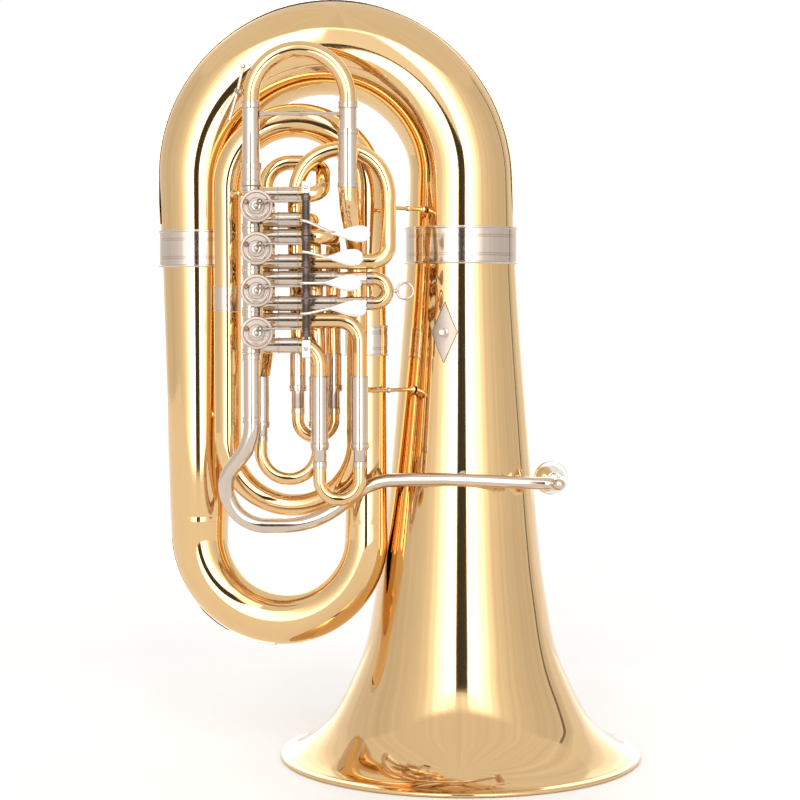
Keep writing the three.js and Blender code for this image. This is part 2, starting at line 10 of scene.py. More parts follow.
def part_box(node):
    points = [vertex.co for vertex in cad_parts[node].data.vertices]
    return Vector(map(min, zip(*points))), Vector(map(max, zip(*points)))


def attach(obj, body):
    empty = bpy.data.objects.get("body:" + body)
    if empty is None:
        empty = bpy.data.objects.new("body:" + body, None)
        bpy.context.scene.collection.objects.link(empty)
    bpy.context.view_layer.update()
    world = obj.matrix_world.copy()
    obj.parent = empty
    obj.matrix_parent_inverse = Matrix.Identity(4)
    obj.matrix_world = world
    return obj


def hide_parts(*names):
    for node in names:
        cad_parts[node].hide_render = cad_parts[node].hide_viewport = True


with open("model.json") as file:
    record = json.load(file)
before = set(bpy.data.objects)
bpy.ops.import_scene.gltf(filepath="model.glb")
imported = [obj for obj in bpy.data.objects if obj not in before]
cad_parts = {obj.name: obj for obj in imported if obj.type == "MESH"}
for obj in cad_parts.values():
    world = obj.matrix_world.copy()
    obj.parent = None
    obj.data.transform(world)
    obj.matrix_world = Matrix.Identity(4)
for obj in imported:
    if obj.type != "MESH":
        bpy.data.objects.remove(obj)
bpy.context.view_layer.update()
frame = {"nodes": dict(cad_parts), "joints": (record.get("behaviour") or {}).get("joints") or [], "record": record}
NODE_BODY = {node: body for body, nodes in frame["record"]["behaviour"]["bodies"].items() for node in nodes}
NODE_SLOT = {part["node"]: part["material_slot"] for part in frame["record"]["subparts"]}
MM = 0.001
UP = Vector((0, 0, 1))
DOWN = Vector((0, 0, -1))
LEFT = Vector((-1, 0, 0))
RIGHT = Vector((1, 0, 0))
TO_FRONT = Vector((0, -1, 0))
TO_BACK = Vector((0, 1, 0))


def mm(*pairs):
    """Pairs of millimetres as pairs of metres."""
    return [(one * MM, two * MM) for one, two in pairs]

# ---------------------------------------------------------------- camera
CAMERA_SIDE = 0.001
CAMERA_DISTANCE = 2.42
CAMERA_HEIGHT = 0.55
CAMERA_TILT = math.radians(-2.45)
LENS = 87.2


def make_camera():
    data = bpy.data.cameras.new("camera")
    data.lens = LENS
    data.sensor_width = 36
    camera = bpy.data.objects.new("camera", data)
    bpy.context.scene.collection.objects.link(camera)
    camera.location = (CAMERA_SIDE, -CAMERA_DISTANCE, CAMERA_HEIGHT)
    camera.rotation_euler = (math.pi / 2 + CAMERA_TILT, 0, 0)
    bpy.context.scene.camera = camera


make_camera()


# ---------------------------------------------------------------- materials
def new_material(name):
    material = bpy.data.materials.new(name)
    material.use_nodes = True
    tree = material.node_tree
    return material, tree, tree.nodes["Principled BSDF"]


def ramp_between(tree, source, low, high):
    """A colour ramp from low to high, driven by source."""
    ramp = tree.nodes.new("ShaderNodeValToRGB")
    ramp.color_ramp.elements[0].position = 0.35
    ramp.color_ramp.elements[0].color = (*low, 1)
    ramp.color_ramp.elements[1].position = 0.65
    ramp.color_ramp.elements[1].color = (*high, 1)
    tree.links.new(source, ramp.inputs["Fac"])
    return ramp.outputs["Color"]


def noise_value(tree, scale, detail=3.0, stretch=(1, 1, 1)):
    """Noise in object space, so it stays on the piece."""
    place = tree.nodes.new("ShaderNodeTexCoord")
    mapping = tree.nodes.new("ShaderNodeMapping")
    mapping.inputs["Scale"].default_value = stretch
    texture = tree.nodes.new("ShaderNodeTexNoise")
    texture.inputs["Scale"].default_value = scale
    texture.inputs["Detail"].default_value = detail
    tree.links.new(place.outputs["Object"], mapping.inputs["Vector"])
    tree.links.new(mapping.outputs["Vector"], texture.inputs["Vector"])
    return texture.outputs["Fac"]


def metal(name, low, high, rough, coat=0.0, stretch=(1, 1, 1), grain=60.0):
    """Polished metal: two close tones, roughness that varies a little, and a faint surface grain."""
    material, tree, shader = new_material(name)
    shader.inputs["Metallic"].default_value = 1.0
    shader.inputs["Coat Weight"].default_value = coat
    shader.inputs["Coat Roughness"].default_value = 0.03
    tone = noise_value(tree, 7.0)
    tree.links.new(ramp_between(tree, tone, low, high), shader.inputs["Base Color"])
    spread = tree.nodes.new("ShaderNodeMapRange")
    spread.inputs["To Min"].default_value = rough[0]
    spread.inputs["To Max"].default_value = rough[1]
    tree.links.new(noise_value(tree, grain, 6.0, stretch), spread.inputs["Value"])
    tree.links.new(spread.outputs["Result"], shader.inputs["Roughness"])
    lift = tree.nodes.new("ShaderNodeBump")
    lift.inputs["Strength"].default_value = 0.02
    lift.inputs["Distance"].default_value = 0.0004
    tree.links.new(noise_value(tree, grain * 3, 4.0, stretch), lift.inputs["Height"])
    tree.links.new(lift.outputs["Normal"], shader.inputs["Normal"])
    return material


def cork_material():
    material, tree, shader = new_material("cork")
    tone = noise_value(tree, 900.0, 5.0)
    colour = ramp_between(tree, tone, (0.18, 0.09, 0.04), (0.42, 0.24, 0.12))
    tree.links.new(colour, shader.inputs["Base Color"])
    shader.inputs["Roughness"].default_value = 0.85
    return material


BRASS = metal("lacquered_brass", (0.755, 0.505, 0.245), (0.785, 0.53, 0.26), (0.035, 0.075), coat=0.25)
INNER_BRASS = metal("bell_inside", (0.70, 0.46, 0.21), (0.76, 0.505, 0.24), (0.09, 0.16), coat=0.2)
ROTOR_BRASS = metal("plain_brass", (0.62, 0.42, 0.17), (0.70, 0.48, 0.21), (0.16, 0.26), grain=160)
NICKEL = metal("nickel_silver", (0.62, 0.525, 0.445), (0.67, 0.57, 0.485), (0.07, 0.14), stretch=(1, 1, 6))
SATIN_NICKEL = metal("satin_nickel", (0.40, 0.335, 0.29), (0.46, 0.39, 0.335), (0.34, 0.46), grain=180)
SATIN_SILVER = metal("satin_silver", (0.86, 0.85, 0.83), (0.92, 0.91, 0.89), (0.26, 0.36), grain=150)
SILVER = metal("silver_plate", (0.86, 0.84, 0.80), (0.91, 0.90, 0.87), (0.05, 0.10))
STEEL = metal("spring_steel", (0.42, 0.39, 0.36), (0.54, 0.50, 0.46), (0.18, 0.30), grain=220)
# Near-black metal. On the lever axle (the hubs, their return springs and the hinge rod) it is painted shade: the
# axle is nickel that lies in shade.
DARK_STEEL_AND_SHADE = metal("dark_steel_and_painted_shade", (0.13, 0.10, 0.09), (0.20, 0.16, 0.14), (0.22, 0.36), grain=220)
CORK = cork_material()
SLOT_MATERIAL = {
    "lacquered_brass": BRASS,
    "plain_brass": ROTOR_BRASS,
    "nickel_silver": NICKEL,
    "silver_plate": SILVER,
}


# ---------------------------------------------------------------- mesh helpers
SHARP_ANGLE = math.radians(38)


def to_object(name, mesh_data, material):
    """A linked object from a bmesh, smooth but for its sharp edges."""
    bmesh.ops.recalc_face_normals(mesh_data, faces=mesh_data.faces)
    for face in mesh_data.faces:
        face.smooth = True
    for edge in mesh_data.edges:
        edge.smooth = len(edge.link_faces) == 2 and edge.calc_face_angle(0) < SHARP_ANGLE
    mesh = bpy.data.meshes.new(name)
    mesh_data.to_mesh(mesh)
    mesh_data.free()
    mesh.materials.append(material)
    made = bpy.data.objects.new(name, mesh)
    bpy.context.scene.collection.objects.link(made)
    return made


def place_piece(piece, body, slot="nickel_silver", replaced=None):
    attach(piece, body)
    if replaced:
        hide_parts(replaced)
    return piece


def add_grid(mesh_data, rings, closed_rings=False):
    """Quads between successive rings of points. With closed_rings the last ring meets the first."""
    rows = [[mesh_data.verts.new(point) for point in ring] for ring in rings]
    count = len(rows[0])
    pairs = list(zip(rows, rows[1:]))
    if closed_rings:
        pairs.append((rows[-1], rows[0]))
    for one, two in pairs:
        for k in range(count):
            n = (k + 1) % count
            mesh_data.faces.new((one[k], one[n], two[n], two[k]))
    return rows


def cross_axes(axis):
    """Two unit vectors square to axis and to each other."""
    side = Vector((1, 0, 0)) if abs(axis.x) < 0.9 else Vector((0, 1, 0))
    side = (side - axis * side.dot(axis)).normalized()
    return side, axis.cross(side)


def circle(centre, axis, radius, sides):
    u, v = cross_axes(axis)
    points = []
    for k in range(sides):
        angle = 2 * math.pi * k / sides
        points.append(centre + u * (radius * math.cos(angle)) + v * (radius * math.sin(angle)))
    return points


def capped_grid(mesh_data, rings):
    """A stack of rings with both ends filled."""
    rows = add_grid(mesh_data, rings)
    mesh_data.faces.new(rows[0])
    mesh_data.faces.new(rows[-1])


def turned(mesh_data, origin, axis, profile, sides=48, closed=False):
    """A lathe form: profile is (distance along axis, radius) pairs in metres. Open ends are filled."""
    axis = axis.normalized()
    rings = [circle(origin + axis * along, axis, radius, sides) for along, radius in profile]
    if closed:
        add_grid(mesh_data, rings, closed_rings=True)
    else:
        capped_grid(mesh_data, rings)


def turned_piece(name, body, origin, axis, profile, material, sides, closed=False,
                 slot="nickel_silver", replaced=None):
    mesh_data = bmesh.new()
    turned(mesh_data, Vector(origin), axis, profile, sides, closed)
    return place_piece(to_object(name, mesh_data, material), body, slot, replaced)


def rounded_band(low, high, inner, outer, edge):
    """A closed band profile with rounded outer corners."""
    return [
        (low, inner), (low, outer - edge), (low + edge * 0.3, outer - edge * 0.3), (low + edge, outer),
        (high - edge, outer), (high - edge * 0.3, outer - edge * 0.3), (high, outer - edge), (high, inner),
    ]


def path_frames(points):
    """A tangent and two cross axes at each point, turned along the path without twist."""
    frames = []
    side = None
    for i, point in enumerate(points):
        before = points[max(i - 1, 0)]
        after = points[min(i + 1, len(points) - 1)]
        tangent = (after - before).normalized()
        side = cross_axes(tangent)[0] if side is None else (side - tangent * side.dot(tangent)).normalized()
        frames.append((point, side, tangent.cross(side)))
    return frames


def swept(mesh_data, points, radii, sides=24, walls=None):
    """A round tube along points. With walls it is hollow, otherwise it is a filled rod."""
    frames = path_frames(points)

    def ring(i, radius):
        point, side, other = frames[i]
        angles = [2 * math.pi * k / sides for k in range(sides)]
        return [point + side * (radius * math.cos(a)) + other * (radius * math.sin(a)) for a in angles]

    count = len(points)
    if walls is None:
        capped_grid(mesh_data, [ring(i, radii[i]) for i in range(count)])
        return
    outer = [ring(i, radii[i]) for i in range(count)]
    inner = [ring(i, radii[i] - walls[i]) for i in reversed(range(count))]
    add_grid(mesh_data, outer + inner, closed_rings=True)


def swept_piece(name, body, points, radii, sides, material, replaced=None):
    mesh_data = bmesh.new()
    swept(mesh_data, points, radii, sides)
    return place_piece(to_object(name, mesh_data, material), body, "nickel_silver", replaced)
def box_form(mesh_data, low, high):
    made = bmesh.ops.create_cube(mesh_data, size=1)
    size = high - low
    middle = (low + high) / 2
    for vertex in made["verts"]:
        vertex.co = Vector((vertex.co.x * size.x, vertex.co.y * size.y, vertex.co.z * size.z)) + middle
    return made["verts"]


def soften(piece, width, segments=3):
    """Rounds a piece's sharp edges."""
    modifier = piece.modifiers.new("bevel", "BEVEL")
    modifier.width = width
    modifier.segments = segments
    modifier.limit_method = "ANGLE"
    modifier.angle_limit = math.radians(40)
    modifier.harden_normals = True


def box_piece(name, body, low, high, material, rounding, segments=3):
    """A box between two corners, with rounded edges."""
    mesh_data = bmesh.new()
    box_form(mesh_data, Vector(low), Vector(high))
    piece = to_object(name, mesh_data, material)
    soften(piece, rounding, segments)
    place_piece(piece, body)


# ---------------------------------------------------------------- rings of a CAD tube
def merged_copy(node):
    mesh_data = bmesh.new()
    mesh_data.from_mesh(frame["nodes"][node].data)
    bmesh.ops.remove_doubles(mesh_data, verts=mesh_data.verts, dist=1e-6)
    mesh_data.verts.index_update()
    return mesh_data


def in_order(vertices):
    """Vertices by index, so sums over them come out the same each run."""
    return sorted(vertices, key=lambda vertex: vertex.index)


def flat_groups(mesh_data):
    """Sets of faces that lie in one plane and touch."""
    left = set(mesh_data.faces)
    while left:
        group = {left.pop()}
        edge_faces = list(group)
        while edge_faces:
            face = edge_faces.pop()
            for edge in face.edges:
                for other in edge.link_faces:
                    if other in left and face.normal.angle(other.normal, 1) < 0.004:
                        left.discard(other)
                        group.add(other)
                        edge_faces.append(other)
        yield group

# A tube's flat end has at least this many triangles.
LEAST_END_FACES = 12
def end_rings(mesh_data):
    """The two flat ends of a tube, lower or left one first, each as (outer vertices, inner vertices)."""
    ends = []
    for group in flat_groups(mesh_data):
        vertices = in_order({vertex for face in group for vertex in face.verts})
        if len(group) >= LEAST_END_FACES and len(group) == len(vertices):
            middle = sum((vertex.co for vertex in vertices), Vector()) / len(vertices)
            order = sorted(vertices, key=lambda vertex: (vertex.co - middle).length)
            half = len(order) // 2
            ends.append((middle, set(order[half:]), set(order[:half])))
    ends.sort(key=lambda end: (round(end[0].z, 4), round(end[0].x, 4), round(end[0].y, 4)))
    return [(outer, inner) for _, outer, inner in ends]


def walk(ring, blocked, last):
    """Rings of vertices from one end of a tube wall to the other."""
    rings = [ring]
    seen = set(blocked)
    while not rings[-1] <= last:
        step = {edge.other_vert(vertex) for vertex in rings[-1] for edge in vertex.link_edges} - seen
        rings.append(step)
        seen |= step
    return rings


def ring_facts(ring, true_circle):
    ring = in_order(ring)
    middle = sum((vertex.co for vertex in ring), Vector()) / len(ring)
    reach = sum((vertex.co - middle).length for vertex in ring) / len(ring)
    turn = 2 * math.pi / len(ring)
    return middle, reach if true_circle else reach / math.sqrt(turn / math.sin(turn))


def tube_rings(node, true_circle=False):
    """Centres, outer radii and walls of a CAD tube's rings, from its lower or left end."""
    mesh_data = merged_copy(node)
    (outer, inner), (far_outer, far_inner) = end_rings(mesh_data)
    blocked = outer | inner
    outers = [ring_facts(ring, true_circle) for ring in walk(outer, blocked, far_outer)]
    inners = [ring_facts(ring, true_circle) for ring in walk(inner, blocked, far_inner)]
    mesh_data.free()
    centres = [facts[0] for facts in outers]
    radii = [facts[1] for facts in outers]
    walls = [one[1] - two[1] for one, two in zip(outers, inners)]
    return centres, radii, walls


def half_turns(turns):
    """Half the arc angle of each stretch between rings, from the turn at each ring."""
    def run(values):
        halves = [0.0]
        for value in values:
            halves.append(min(max(value - halves[-1], 0.0), value))
        return halves

    forward = run(turns)
    back = run(turns[::-1])[::-1]
    return [(a + b) / 2 for a, b in zip(forward, back)]


def blend_weights(t):
    """Cubic weights of a start point, its slope, an end point and its slope."""
    return 2 * t**3 - 3 * t**2 + 1, t**3 - 2 * t**2 + t, -2 * t**3 + 3 * t**2, t**3 - t**2


def smooth_path(centres, radii, walls, step=math.radians(3.0)):
    """The tube's rings with round arcs filled in between them."""
    ways = [(b - a).normalized() for a, b in zip(centres, centres[1:])]
    turns = [a.angle(b) for a, b in zip(ways, ways[1:])]
    halves = half_turns(turns)
    tangents = [ways[0]]
    for i, turn in enumerate(turns):
        share = halves[i] / turn if turn > 1e-4 else 0.5
        tangents.append(ways[i].lerp(ways[i + 1], share).normalized())
    tangents.append(ways[-1])
    points, outers, thick = [centres[0]], [radii[0]], [walls[0]]
    for i, half in enumerate(halves):
        length = (centres[i + 1] - centres[i]).length
        pull = length / math.cos(half / 2) ** 2
        pieces = max(1, math.ceil(2 * half / step))
        for k in range(1, pieces + 1):
            t = k / pieces
            a, b, c, d = blend_weights(t)
            point = centres[i] * a + tangents[i] * (b * pull) + centres[i + 1] * c
            points.append(point + tangents[i + 1] * (d * pull))
            outers.append(radii[i] + (radii[i + 1] - radii[i]) * t)
            thick.append(walls[i] + (walls[i + 1] - walls[i]) * t)
    return points, outers, thick


TUBE_PATHS = {}


def smooth_tube(node, sides):
    """Replaces a CAD tube by a round one along the same centre line."""
    path = smooth_path(*tube_rings(node))
    TUBE_PATHS[node] = path
    mesh_data = bmesh.new()
    swept(mesh_data, path[0], path[1], sides, path[2])
    slot = NODE_SLOT[node]
    place_piece(to_object(node + "_skin", mesh_data, SLOT_MATERIAL[slot]), NODE_BODY[node], slot, node)


# ---------------------------------------------------------------- bell
def bell_curve(heights, radii, per_span=8):
    """A smooth outline through the bell's rings, except at the flat rim."""
    points = [Vector((r, z)) for z, r in zip(heights, radii)]
    outline = []
    for i in range(len(points) - 1):
        before, here = points[max(i - 1, 0)], points[i]
        there, after = points[i + 1], points[min(i + 2, len(points) - 1)]
        if (there - here).length < 4 * MM:
            outline.append(here)
            continue
        span = (there - here).length
        start = (there - before) * (span / max((there - before).length, 1e-9))
        end = (after - here) * (span / max((after - here).length, 1e-9))
        for k in range(per_span):
            t = k / per_span
            a, b, c, d = blend_weights(t)
            outline.append(here * a + start * b + there * c + end * d)
    outline.append(points[-1])
    return outline


def make_bell():
    centres, radii, _ = tube_rings("bell", true_circle=True)
    order = sorted(range(len(centres)), key=lambda i: -centres[i].z)
    axis_x, axis_y = centres[0].x, centres[0].y
    rim_top = 3.2 * MM
    flare = [i for i in order if centres[i].z > rim_top]
    outline = bell_curve([centres[i].z for i in flare], [radii[i] for i in flare])
    rim_radius = max(radii)
    bead = 2.6 * MM
    bead_middle = (rim_radius - bead, bead)
    outer = [(p.y, p.x) for p in outline if p.y > 2 * bead * 1.02]
    # The rolled rim is a round bead whose lowest line touches the floor.
    roll = [math.radians(a) for a in range(75, -200, -15)]
    rim = [(bead_middle[1] + bead * math.sin(a), bead_middle[0] + bead * math.cos(a)) for a in roll]
    wall = 1.1 * MM
    inner = [(z + wall * 0.4, r - wall) for z, r in reversed(outer) if r - wall < rim_radius - 3 * bead]
    origin = Vector((axis_x, axis_y, 0))
    mesh_data = bmesh.new()
    turned(mesh_data, origin, UP, outer + rim + inner, 128, closed=True)
    piece = to_object("bell_skin", mesh_data, BRASS)
    piece.data.materials.append(INNER_BRASS)
    for face in piece.data.polygons:
        away = (face.center - origin) * Vector((1, 1, 0))
        if face.normal.dot(away) < 0 and face.center.z > 2 * bead:
            face.material_index = 1
    place_piece(piece, NODE_BODY["bell"], "lacquered_brass", "bell")
    return axis_x, outline


BELL_X, BELL_OUTLINE = make_bell()


def bell_radius(height):
    """Outer radius of the bell at a height."""
    for high, low in zip(BELL_OUTLINE, BELL_OUTLINE[1:]):
        if low.y <= height <= high.y:
            share = (height - low.y) / max(high.y - low.y, 1e-9)
            return low.x + (high.x - low.x) * share
    return BELL_OUTLINE[0].x


# ---------------------------------------------------------------- body tubes
LARGE_TUBES = ["top_bow", "left_branch", "first_bottom_bow"]
MIDDLE_TUBES = ["second_branch", "second_top_bow", "third_branch", "second_bottom_bow", "fourth_branch"]
VALVE_TUBES = [
    "first_slide_tube_inner", "first_slide_tube_outer", "second_slide_tube_inner", "second_slide_tube_outer",
    "third_slide_tube_inner", "third_slide_tube_outer", "fourth_slide_tube_inner", "fourth_slide_tube_outer",
]
CROOKS = ["main_tuning_slide", "first_slide", "second_slide", "third_slide", "fourth_slide"]
for tube in LARGE_TUBES:
    smooth_tube(tube, 72)
for tube in MIDDLE_TUBES:
    smooth_tube(tube, 48)
for tube in VALVE_TUBES + CROOKS + ["main_sleeve_left", "main_sleeve_right", "leadpipe"]:
    smooth_tube(tube, 32)


def banded_ferrule(node, bead, lines):
    """A ferrule with a raised bead at each edge and a pair of turned lines further in."""
    low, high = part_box(node)
    middle = (low + high) / 2
    radius = tube_rings(node)[1][0]
    inside = radius - 3 * MM
    height = high.z - low.z
    cut = -0.5
    bead_steps = [(0, 0.5), (0.5, 1), (1.5, 1), (2, 0)]
    line_steps = mm((0, 0), (0.3, cut), (0.9, cut), (1.2, 0), (2.4, 0), (2.7, cut), (3.3, cut), (3.6, 0))
    profile = [(0, inside), (0, radius)]
    for edge, sign in ((0, 1), (height, -1)):
        band = [(edge + sign * along * bead, radius + rise * bead * 0.7) for along, rise in bead_steps]
        grooves = [(edge + sign * (lines + along), radius + rise) for along, rise in line_steps]
        part = band + grooves
        profile += part if sign > 0 else part[::-1]
    profile += [(height, radius), (height, inside)]
    origin = Vector((middle.x, middle.y, low.z))
    turned_piece(node + "_skin", NODE_BODY[node], origin, UP, profile, NICKEL, 96, True, replaced=node)


banded_ferrule("bell_ferrule", 1.6 * MM, 10 * MM)
banded_ferrule("top_bow_ferrule", 1.6 * MM, 10 * MM)
banded_ferrule("second_branch_ferrule", 1.2 * MM, 7 * MM)


def collar(name, point, axis, radius, length, body="horn", thickness=0.9 * MM):
    """A short ferrule on a tube, from point along axis, with a bead at each edge."""
    inner, outer = radius + 0.15 * MM, radius + thickness
    bead = outer + 0.5 * MM
    rise = min(1.6 * MM, length / 4)
    profile = [
        (0, inner), (0, outer), (rise * 0.3, bead), (rise * 0.8, bead), (rise, outer),
        (length - rise, outer), (length - rise * 0.8, bead), (length - rise * 0.3, bead),
        (length, outer), (length, inner),
    ]
    turned_piece(name, body, point, axis, profile, NICKEL, 40, True)


def tube_end(node, at_start):
    """A tube's first or last point, the way into the tube there, and its radius."""
    points, radii, _ = TUBE_PATHS[node]
    i, n = (0, 1) if at_start else (len(points) - 1, len(points) - 2)
    return points[i], (points[n] - points[i]).normalized(), radii[i]


def end_of(node, lowest=True):
    """The tube end furthest down, or up."""
    points = TUBE_PATHS[node][0]
    return tube_end(node, (points[0].z < points[-1].z) == lowest)


def valve_end(node):
    """The end of a valve tube at its valve: the highest one, or the left one of a level tube."""
    points = TUBE_PATHS[node][0]
    level = round(points[0].z - points[-1].z, 3) == 0
    return tube_end(node, points[0].x < points[-1].x if level else points[0].z > points[-1].z)


def slide_ferrules():
    """The sleeves of the valve slides with their lips, and a ferrule at each valve port."""
    long_sleeves = {"first_slide": 88 * MM, "third_slide": 46 * MM, "fourth_slide": 62 * MM}
    for slide, length in long_sleeves.items():
        for which in ("inner", "outer"):
            point, way, radius = end_of(f"{slide}_tube_{which}")
            collar(f"{slide}_sleeve_{which}", point, way, radius, length)
            collar(f"{slide}_lip_{which}", point + way * 2 * MM, way, radius + 0.9 * MM, 6 * MM)
    thin = 0.5 * MM
    for which in ("inner", "outer"):
        points, radii, _ = TUBE_PATHS[f"second_slide_tube_{which}"]
        point = max(points, key=lambda p: p.x)
        collar(f"second_slide_sleeve_{which}", point, LEFT, radii[0], 44 * MM, thickness=thin)
        lip = point + LEFT * 2 * MM
        collar(f"second_slide_lip_{which}", lip, LEFT, radii[0] + thin, 6 * MM, thickness=thin)
    for tube in VALVE_TUBES:
        point, way, radius = valve_end(tube)
        collar(tube + "_port_ferrule", point, way, radius, 25 * MM, thickness=0.4 * MM)


slide_ferrules()


def nickel_leg(name, start, way, length, radius, body, ferrule, thickness=0.5 * MM):
    """The straight part of a sliding crook, sheathed in nickel, with a ferrule where the crook starts."""
    skin = radius + 0.25 * MM
    profile = rounded_band(0, length, radius + 0.02 * MM, skin, 0.1 * MM)
    turned_piece(name, body, start, way, profile, NICKEL, 40, True)
    collar(ferrule, start, way, skin, 8 * MM, body, thickness)


def slide_legs():
    rises = {"first_slide": 14 * MM, "third_slide": 6 * MM, "fourth_slide": 10 * MM}
    for slide, rise in rises.items():
        points, radii, _ = TUBE_PATHS[slide]
        low = min(p.z for p in points)
        bend = low + abs(points[0].x - points[-1].x) / 2 + rise
        for side, end in (("left", points[0]), ("right", points[-1])):
            start = Vector((end.x, end.y, bend))
            name = f"{slide}_leg_{side}"
            nickel_leg(name, start, UP, end.z - bend - 4 * MM, radii[0], slide, name + "_ferrule")
    points, radii, _ = TUBE_PATHS["second_slide"]
    bend = max(p.x for p in points) - abs(points[0].z - points[-1].z) / 2 - 2 * MM
    for side, end in (("upper", points[-1]), ("lower", points[0])):
        start = Vector((bend, end.y, end.z))
        name = f"second_slide_leg_{side}"
        nickel_leg(name, start, LEFT, bend - end.x - 4 * MM, radii[0], "second_slide", name + "_ferrule")


slide_legs()


def main_slide_legs():
    """The main slide's legs are nickel from the crook down, with a ferrule under the crook."""
    points, radii, _ = TUBE_PATHS["main_tuning_slide"]
    top = max(p.z for p in points)
    bend = top - abs(points[0].x - points[-1].x) / 2
    for side, end in (("left", points[0]), ("right", points[-1])):
        start = Vector((end.x, end.y, bend - 4 * MM))
        length = start.z - end.z - 6 * MM
        ferrule = f"main_slide_crook_ferrule_{side}"
        nickel_leg(f"main_slide_leg_{side}", start, DOWN, length, radii[0], "main_slide", ferrule, 0.9 * MM)
    for side in ("left", "right"):
        low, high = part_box(f"main_sleeve_{side}")
        middle = (low + high) / 2
        radius = TUBE_PATHS[f"main_sleeve_{side}"][1][0]
        top_point = Vector((middle.x, middle.y, high.z))
        collar(f"main_sleeve_lip_{side}", top_point, DOWN, radius, 7 * MM)
        bottom = Vector((middle.x, middle.y, low.z))
        collar(f"main_sleeve_foot_{side}", bottom, UP, radius, 7 * MM)


main_slide_legs()


def seam_cover(name, point, way, radius):
    """A flush brass sleeve across the fine gap between two body tubes."""
    reach, skin = 3 * MM, 0.12 * MM
    top = radius + skin
    profile = [(-reach, radius), (-reach + skin, top), (reach - skin, top), (reach, radius)]
    turned_piece(name, "horn", point, way, profile, BRASS, 72, slot="lacquered_brass")


def body_joints():
    """Seam covers where the body tubes meet, and the third branch's own ferrule."""
    for node in ("second_branch", "third_branch", "fourth_branch", "left_branch"):
        for lowest in (True, False):
            point, way, radius = end_of(node, lowest)
            seam_cover(f"{node}_{'low' if lowest else 'high'}_seam", point, way, radius)
    low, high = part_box("third_branch")
    middle = (low + high) / 2
    radius = TUBE_PATHS["third_branch"][1][0]
    ferrule_point = Vector((middle.x, middle.y, low.z + 0.52 * (high.z - low.z)))
    collar("third_branch_ferrule", ferrule_point, UP, radius, 31 * MM)


body_joints()


# ---------------------------------------------------------------- guard strips
def guard(node, tube, half_angle):
    """A nickel strip along the outer side of a bow, slightly domed."""
    low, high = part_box(node)
    points, radii, _ = TUBE_PATHS[tube]
    middle = sum(points, Vector()) / len(points)
    margin = 2 * MM
    chosen = []
    for i in range(1, len(points) - 1):
        p = points[i]
        tangent = (points[i + 1] - points[i - 1]).normalized()
        away = p - middle
        away = (away - tangent * away.dot(tangent)).normalized()
        edge = p + away * radii[i]
        if low.x - margin < edge.x < high.x + margin and low.z - margin < edge.z < high.z + margin:
            chosen.append((p, away, tangent.cross(away), radii[i]))
    if node == "top_bow_guard":
        chosen = lengthen(chosen, low.z)
    steps = 10
    angles = [half_angle * (2 * k / steps - 1) for k in range(steps + 1)]

    def arc(entry, rise, turns):
        p, away, across, radius = entry
        reach = radius + rise
        return [p + away * (reach * math.cos(a)) + across * (reach * math.sin(a)) for a in turns]

    strip = [arc(entry, 1.3 * MM, angles) + arc(entry, 0.1 * MM, angles[::-1]) for entry in chosen]
    mesh_data = bmesh.new()
    capped_grid(mesh_data, strip)
    place_piece(to_object(node + "_skin", mesh_data, NICKEL), "horn", "nickel_silver", node)


def lengthen(chosen, low):
    """Carries the strip down both straight legs to the height low."""
    def leg(entry):
        p, away, across, radius = entry
        return (Vector((p.x, p.y, low)), away, across, radius)
    return [leg(chosen[0])] + chosen + [leg(chosen[-1])]


guard("top_bow_guard", "top_bow", math.radians(20))
guard("bottom_bow_guard", "first_bottom_bow", math.radians(24))


# ---------------------------------------------------------------- valves
def screw(name, point, axis, radius, body="horn"):
    """A slotted screw head: a low dome with a cut across it."""
    origin, axis = Vector(point), Vector(axis).normalized()
    mesh_data = bmesh.new()
    dome = [(0, 1), (0.35, 1), (0.55, 0.8), (0.62, 0.45)]
    profile = [(radius * along, radius * across) for along, across in dome]
    turned(mesh_data, origin, axis, profile, 20)
    piece = to_object(name, mesh_data, STEEL)
    u, v = cross_axes(axis)
    cutter_data = bmesh.new()
    reach, half_slot = radius * 1.2, radius * 0.14
    corners = box_form(cutter_data, Vector((-reach, -half_slot, 0)), Vector((reach, half_slot, radius)))
    turn = Matrix((u, v, axis)).transposed()
    for vertex in corners:
        vertex.co = origin + axis * (radius * 0.36) + turn @ vertex.co
    cutter = to_object(name + "_slot", cutter_data, STEEL)
    cut = piece.modifiers.new("slot", "BOOLEAN")
    cut.object = cutter
    cut.operation = "DIFFERENCE"
    cut.solver = "EXACT"
    bpy.context.view_layer.update()
    depsgraph = bpy.context.evaluated_depsgraph_get()
    finished = bpy.data.meshes.new_from_object(piece.evaluated_get(depsgraph))
    piece.modifiers.clear()
    piece.data = finished
    bpy.data.objects.remove(cutter)
    return place_piece(piece, body)


def knurled(mesh_data, origin, axis, profile, teeth, depth):
    """A lathe form whose rim is scalloped: profile rows marked True get the teeth."""
    sides = teeth * 4
    rings = []
    u, v = cross_axes(axis)
    for along, radius, cut in profile:
        ring = []
        for k in range(sides):
            angle = 2 * math.pi * k / sides
            reach = radius - (depth * (0.5 - 0.5 * math.cos(angle * teeth)) if cut else 0)
            point = origin + axis * along + u * (reach * math.cos(angle))
            ring.append(point + v * (reach * math.sin(angle)))
        rings.append(ring)
    capped_grid(mesh_data, rings)


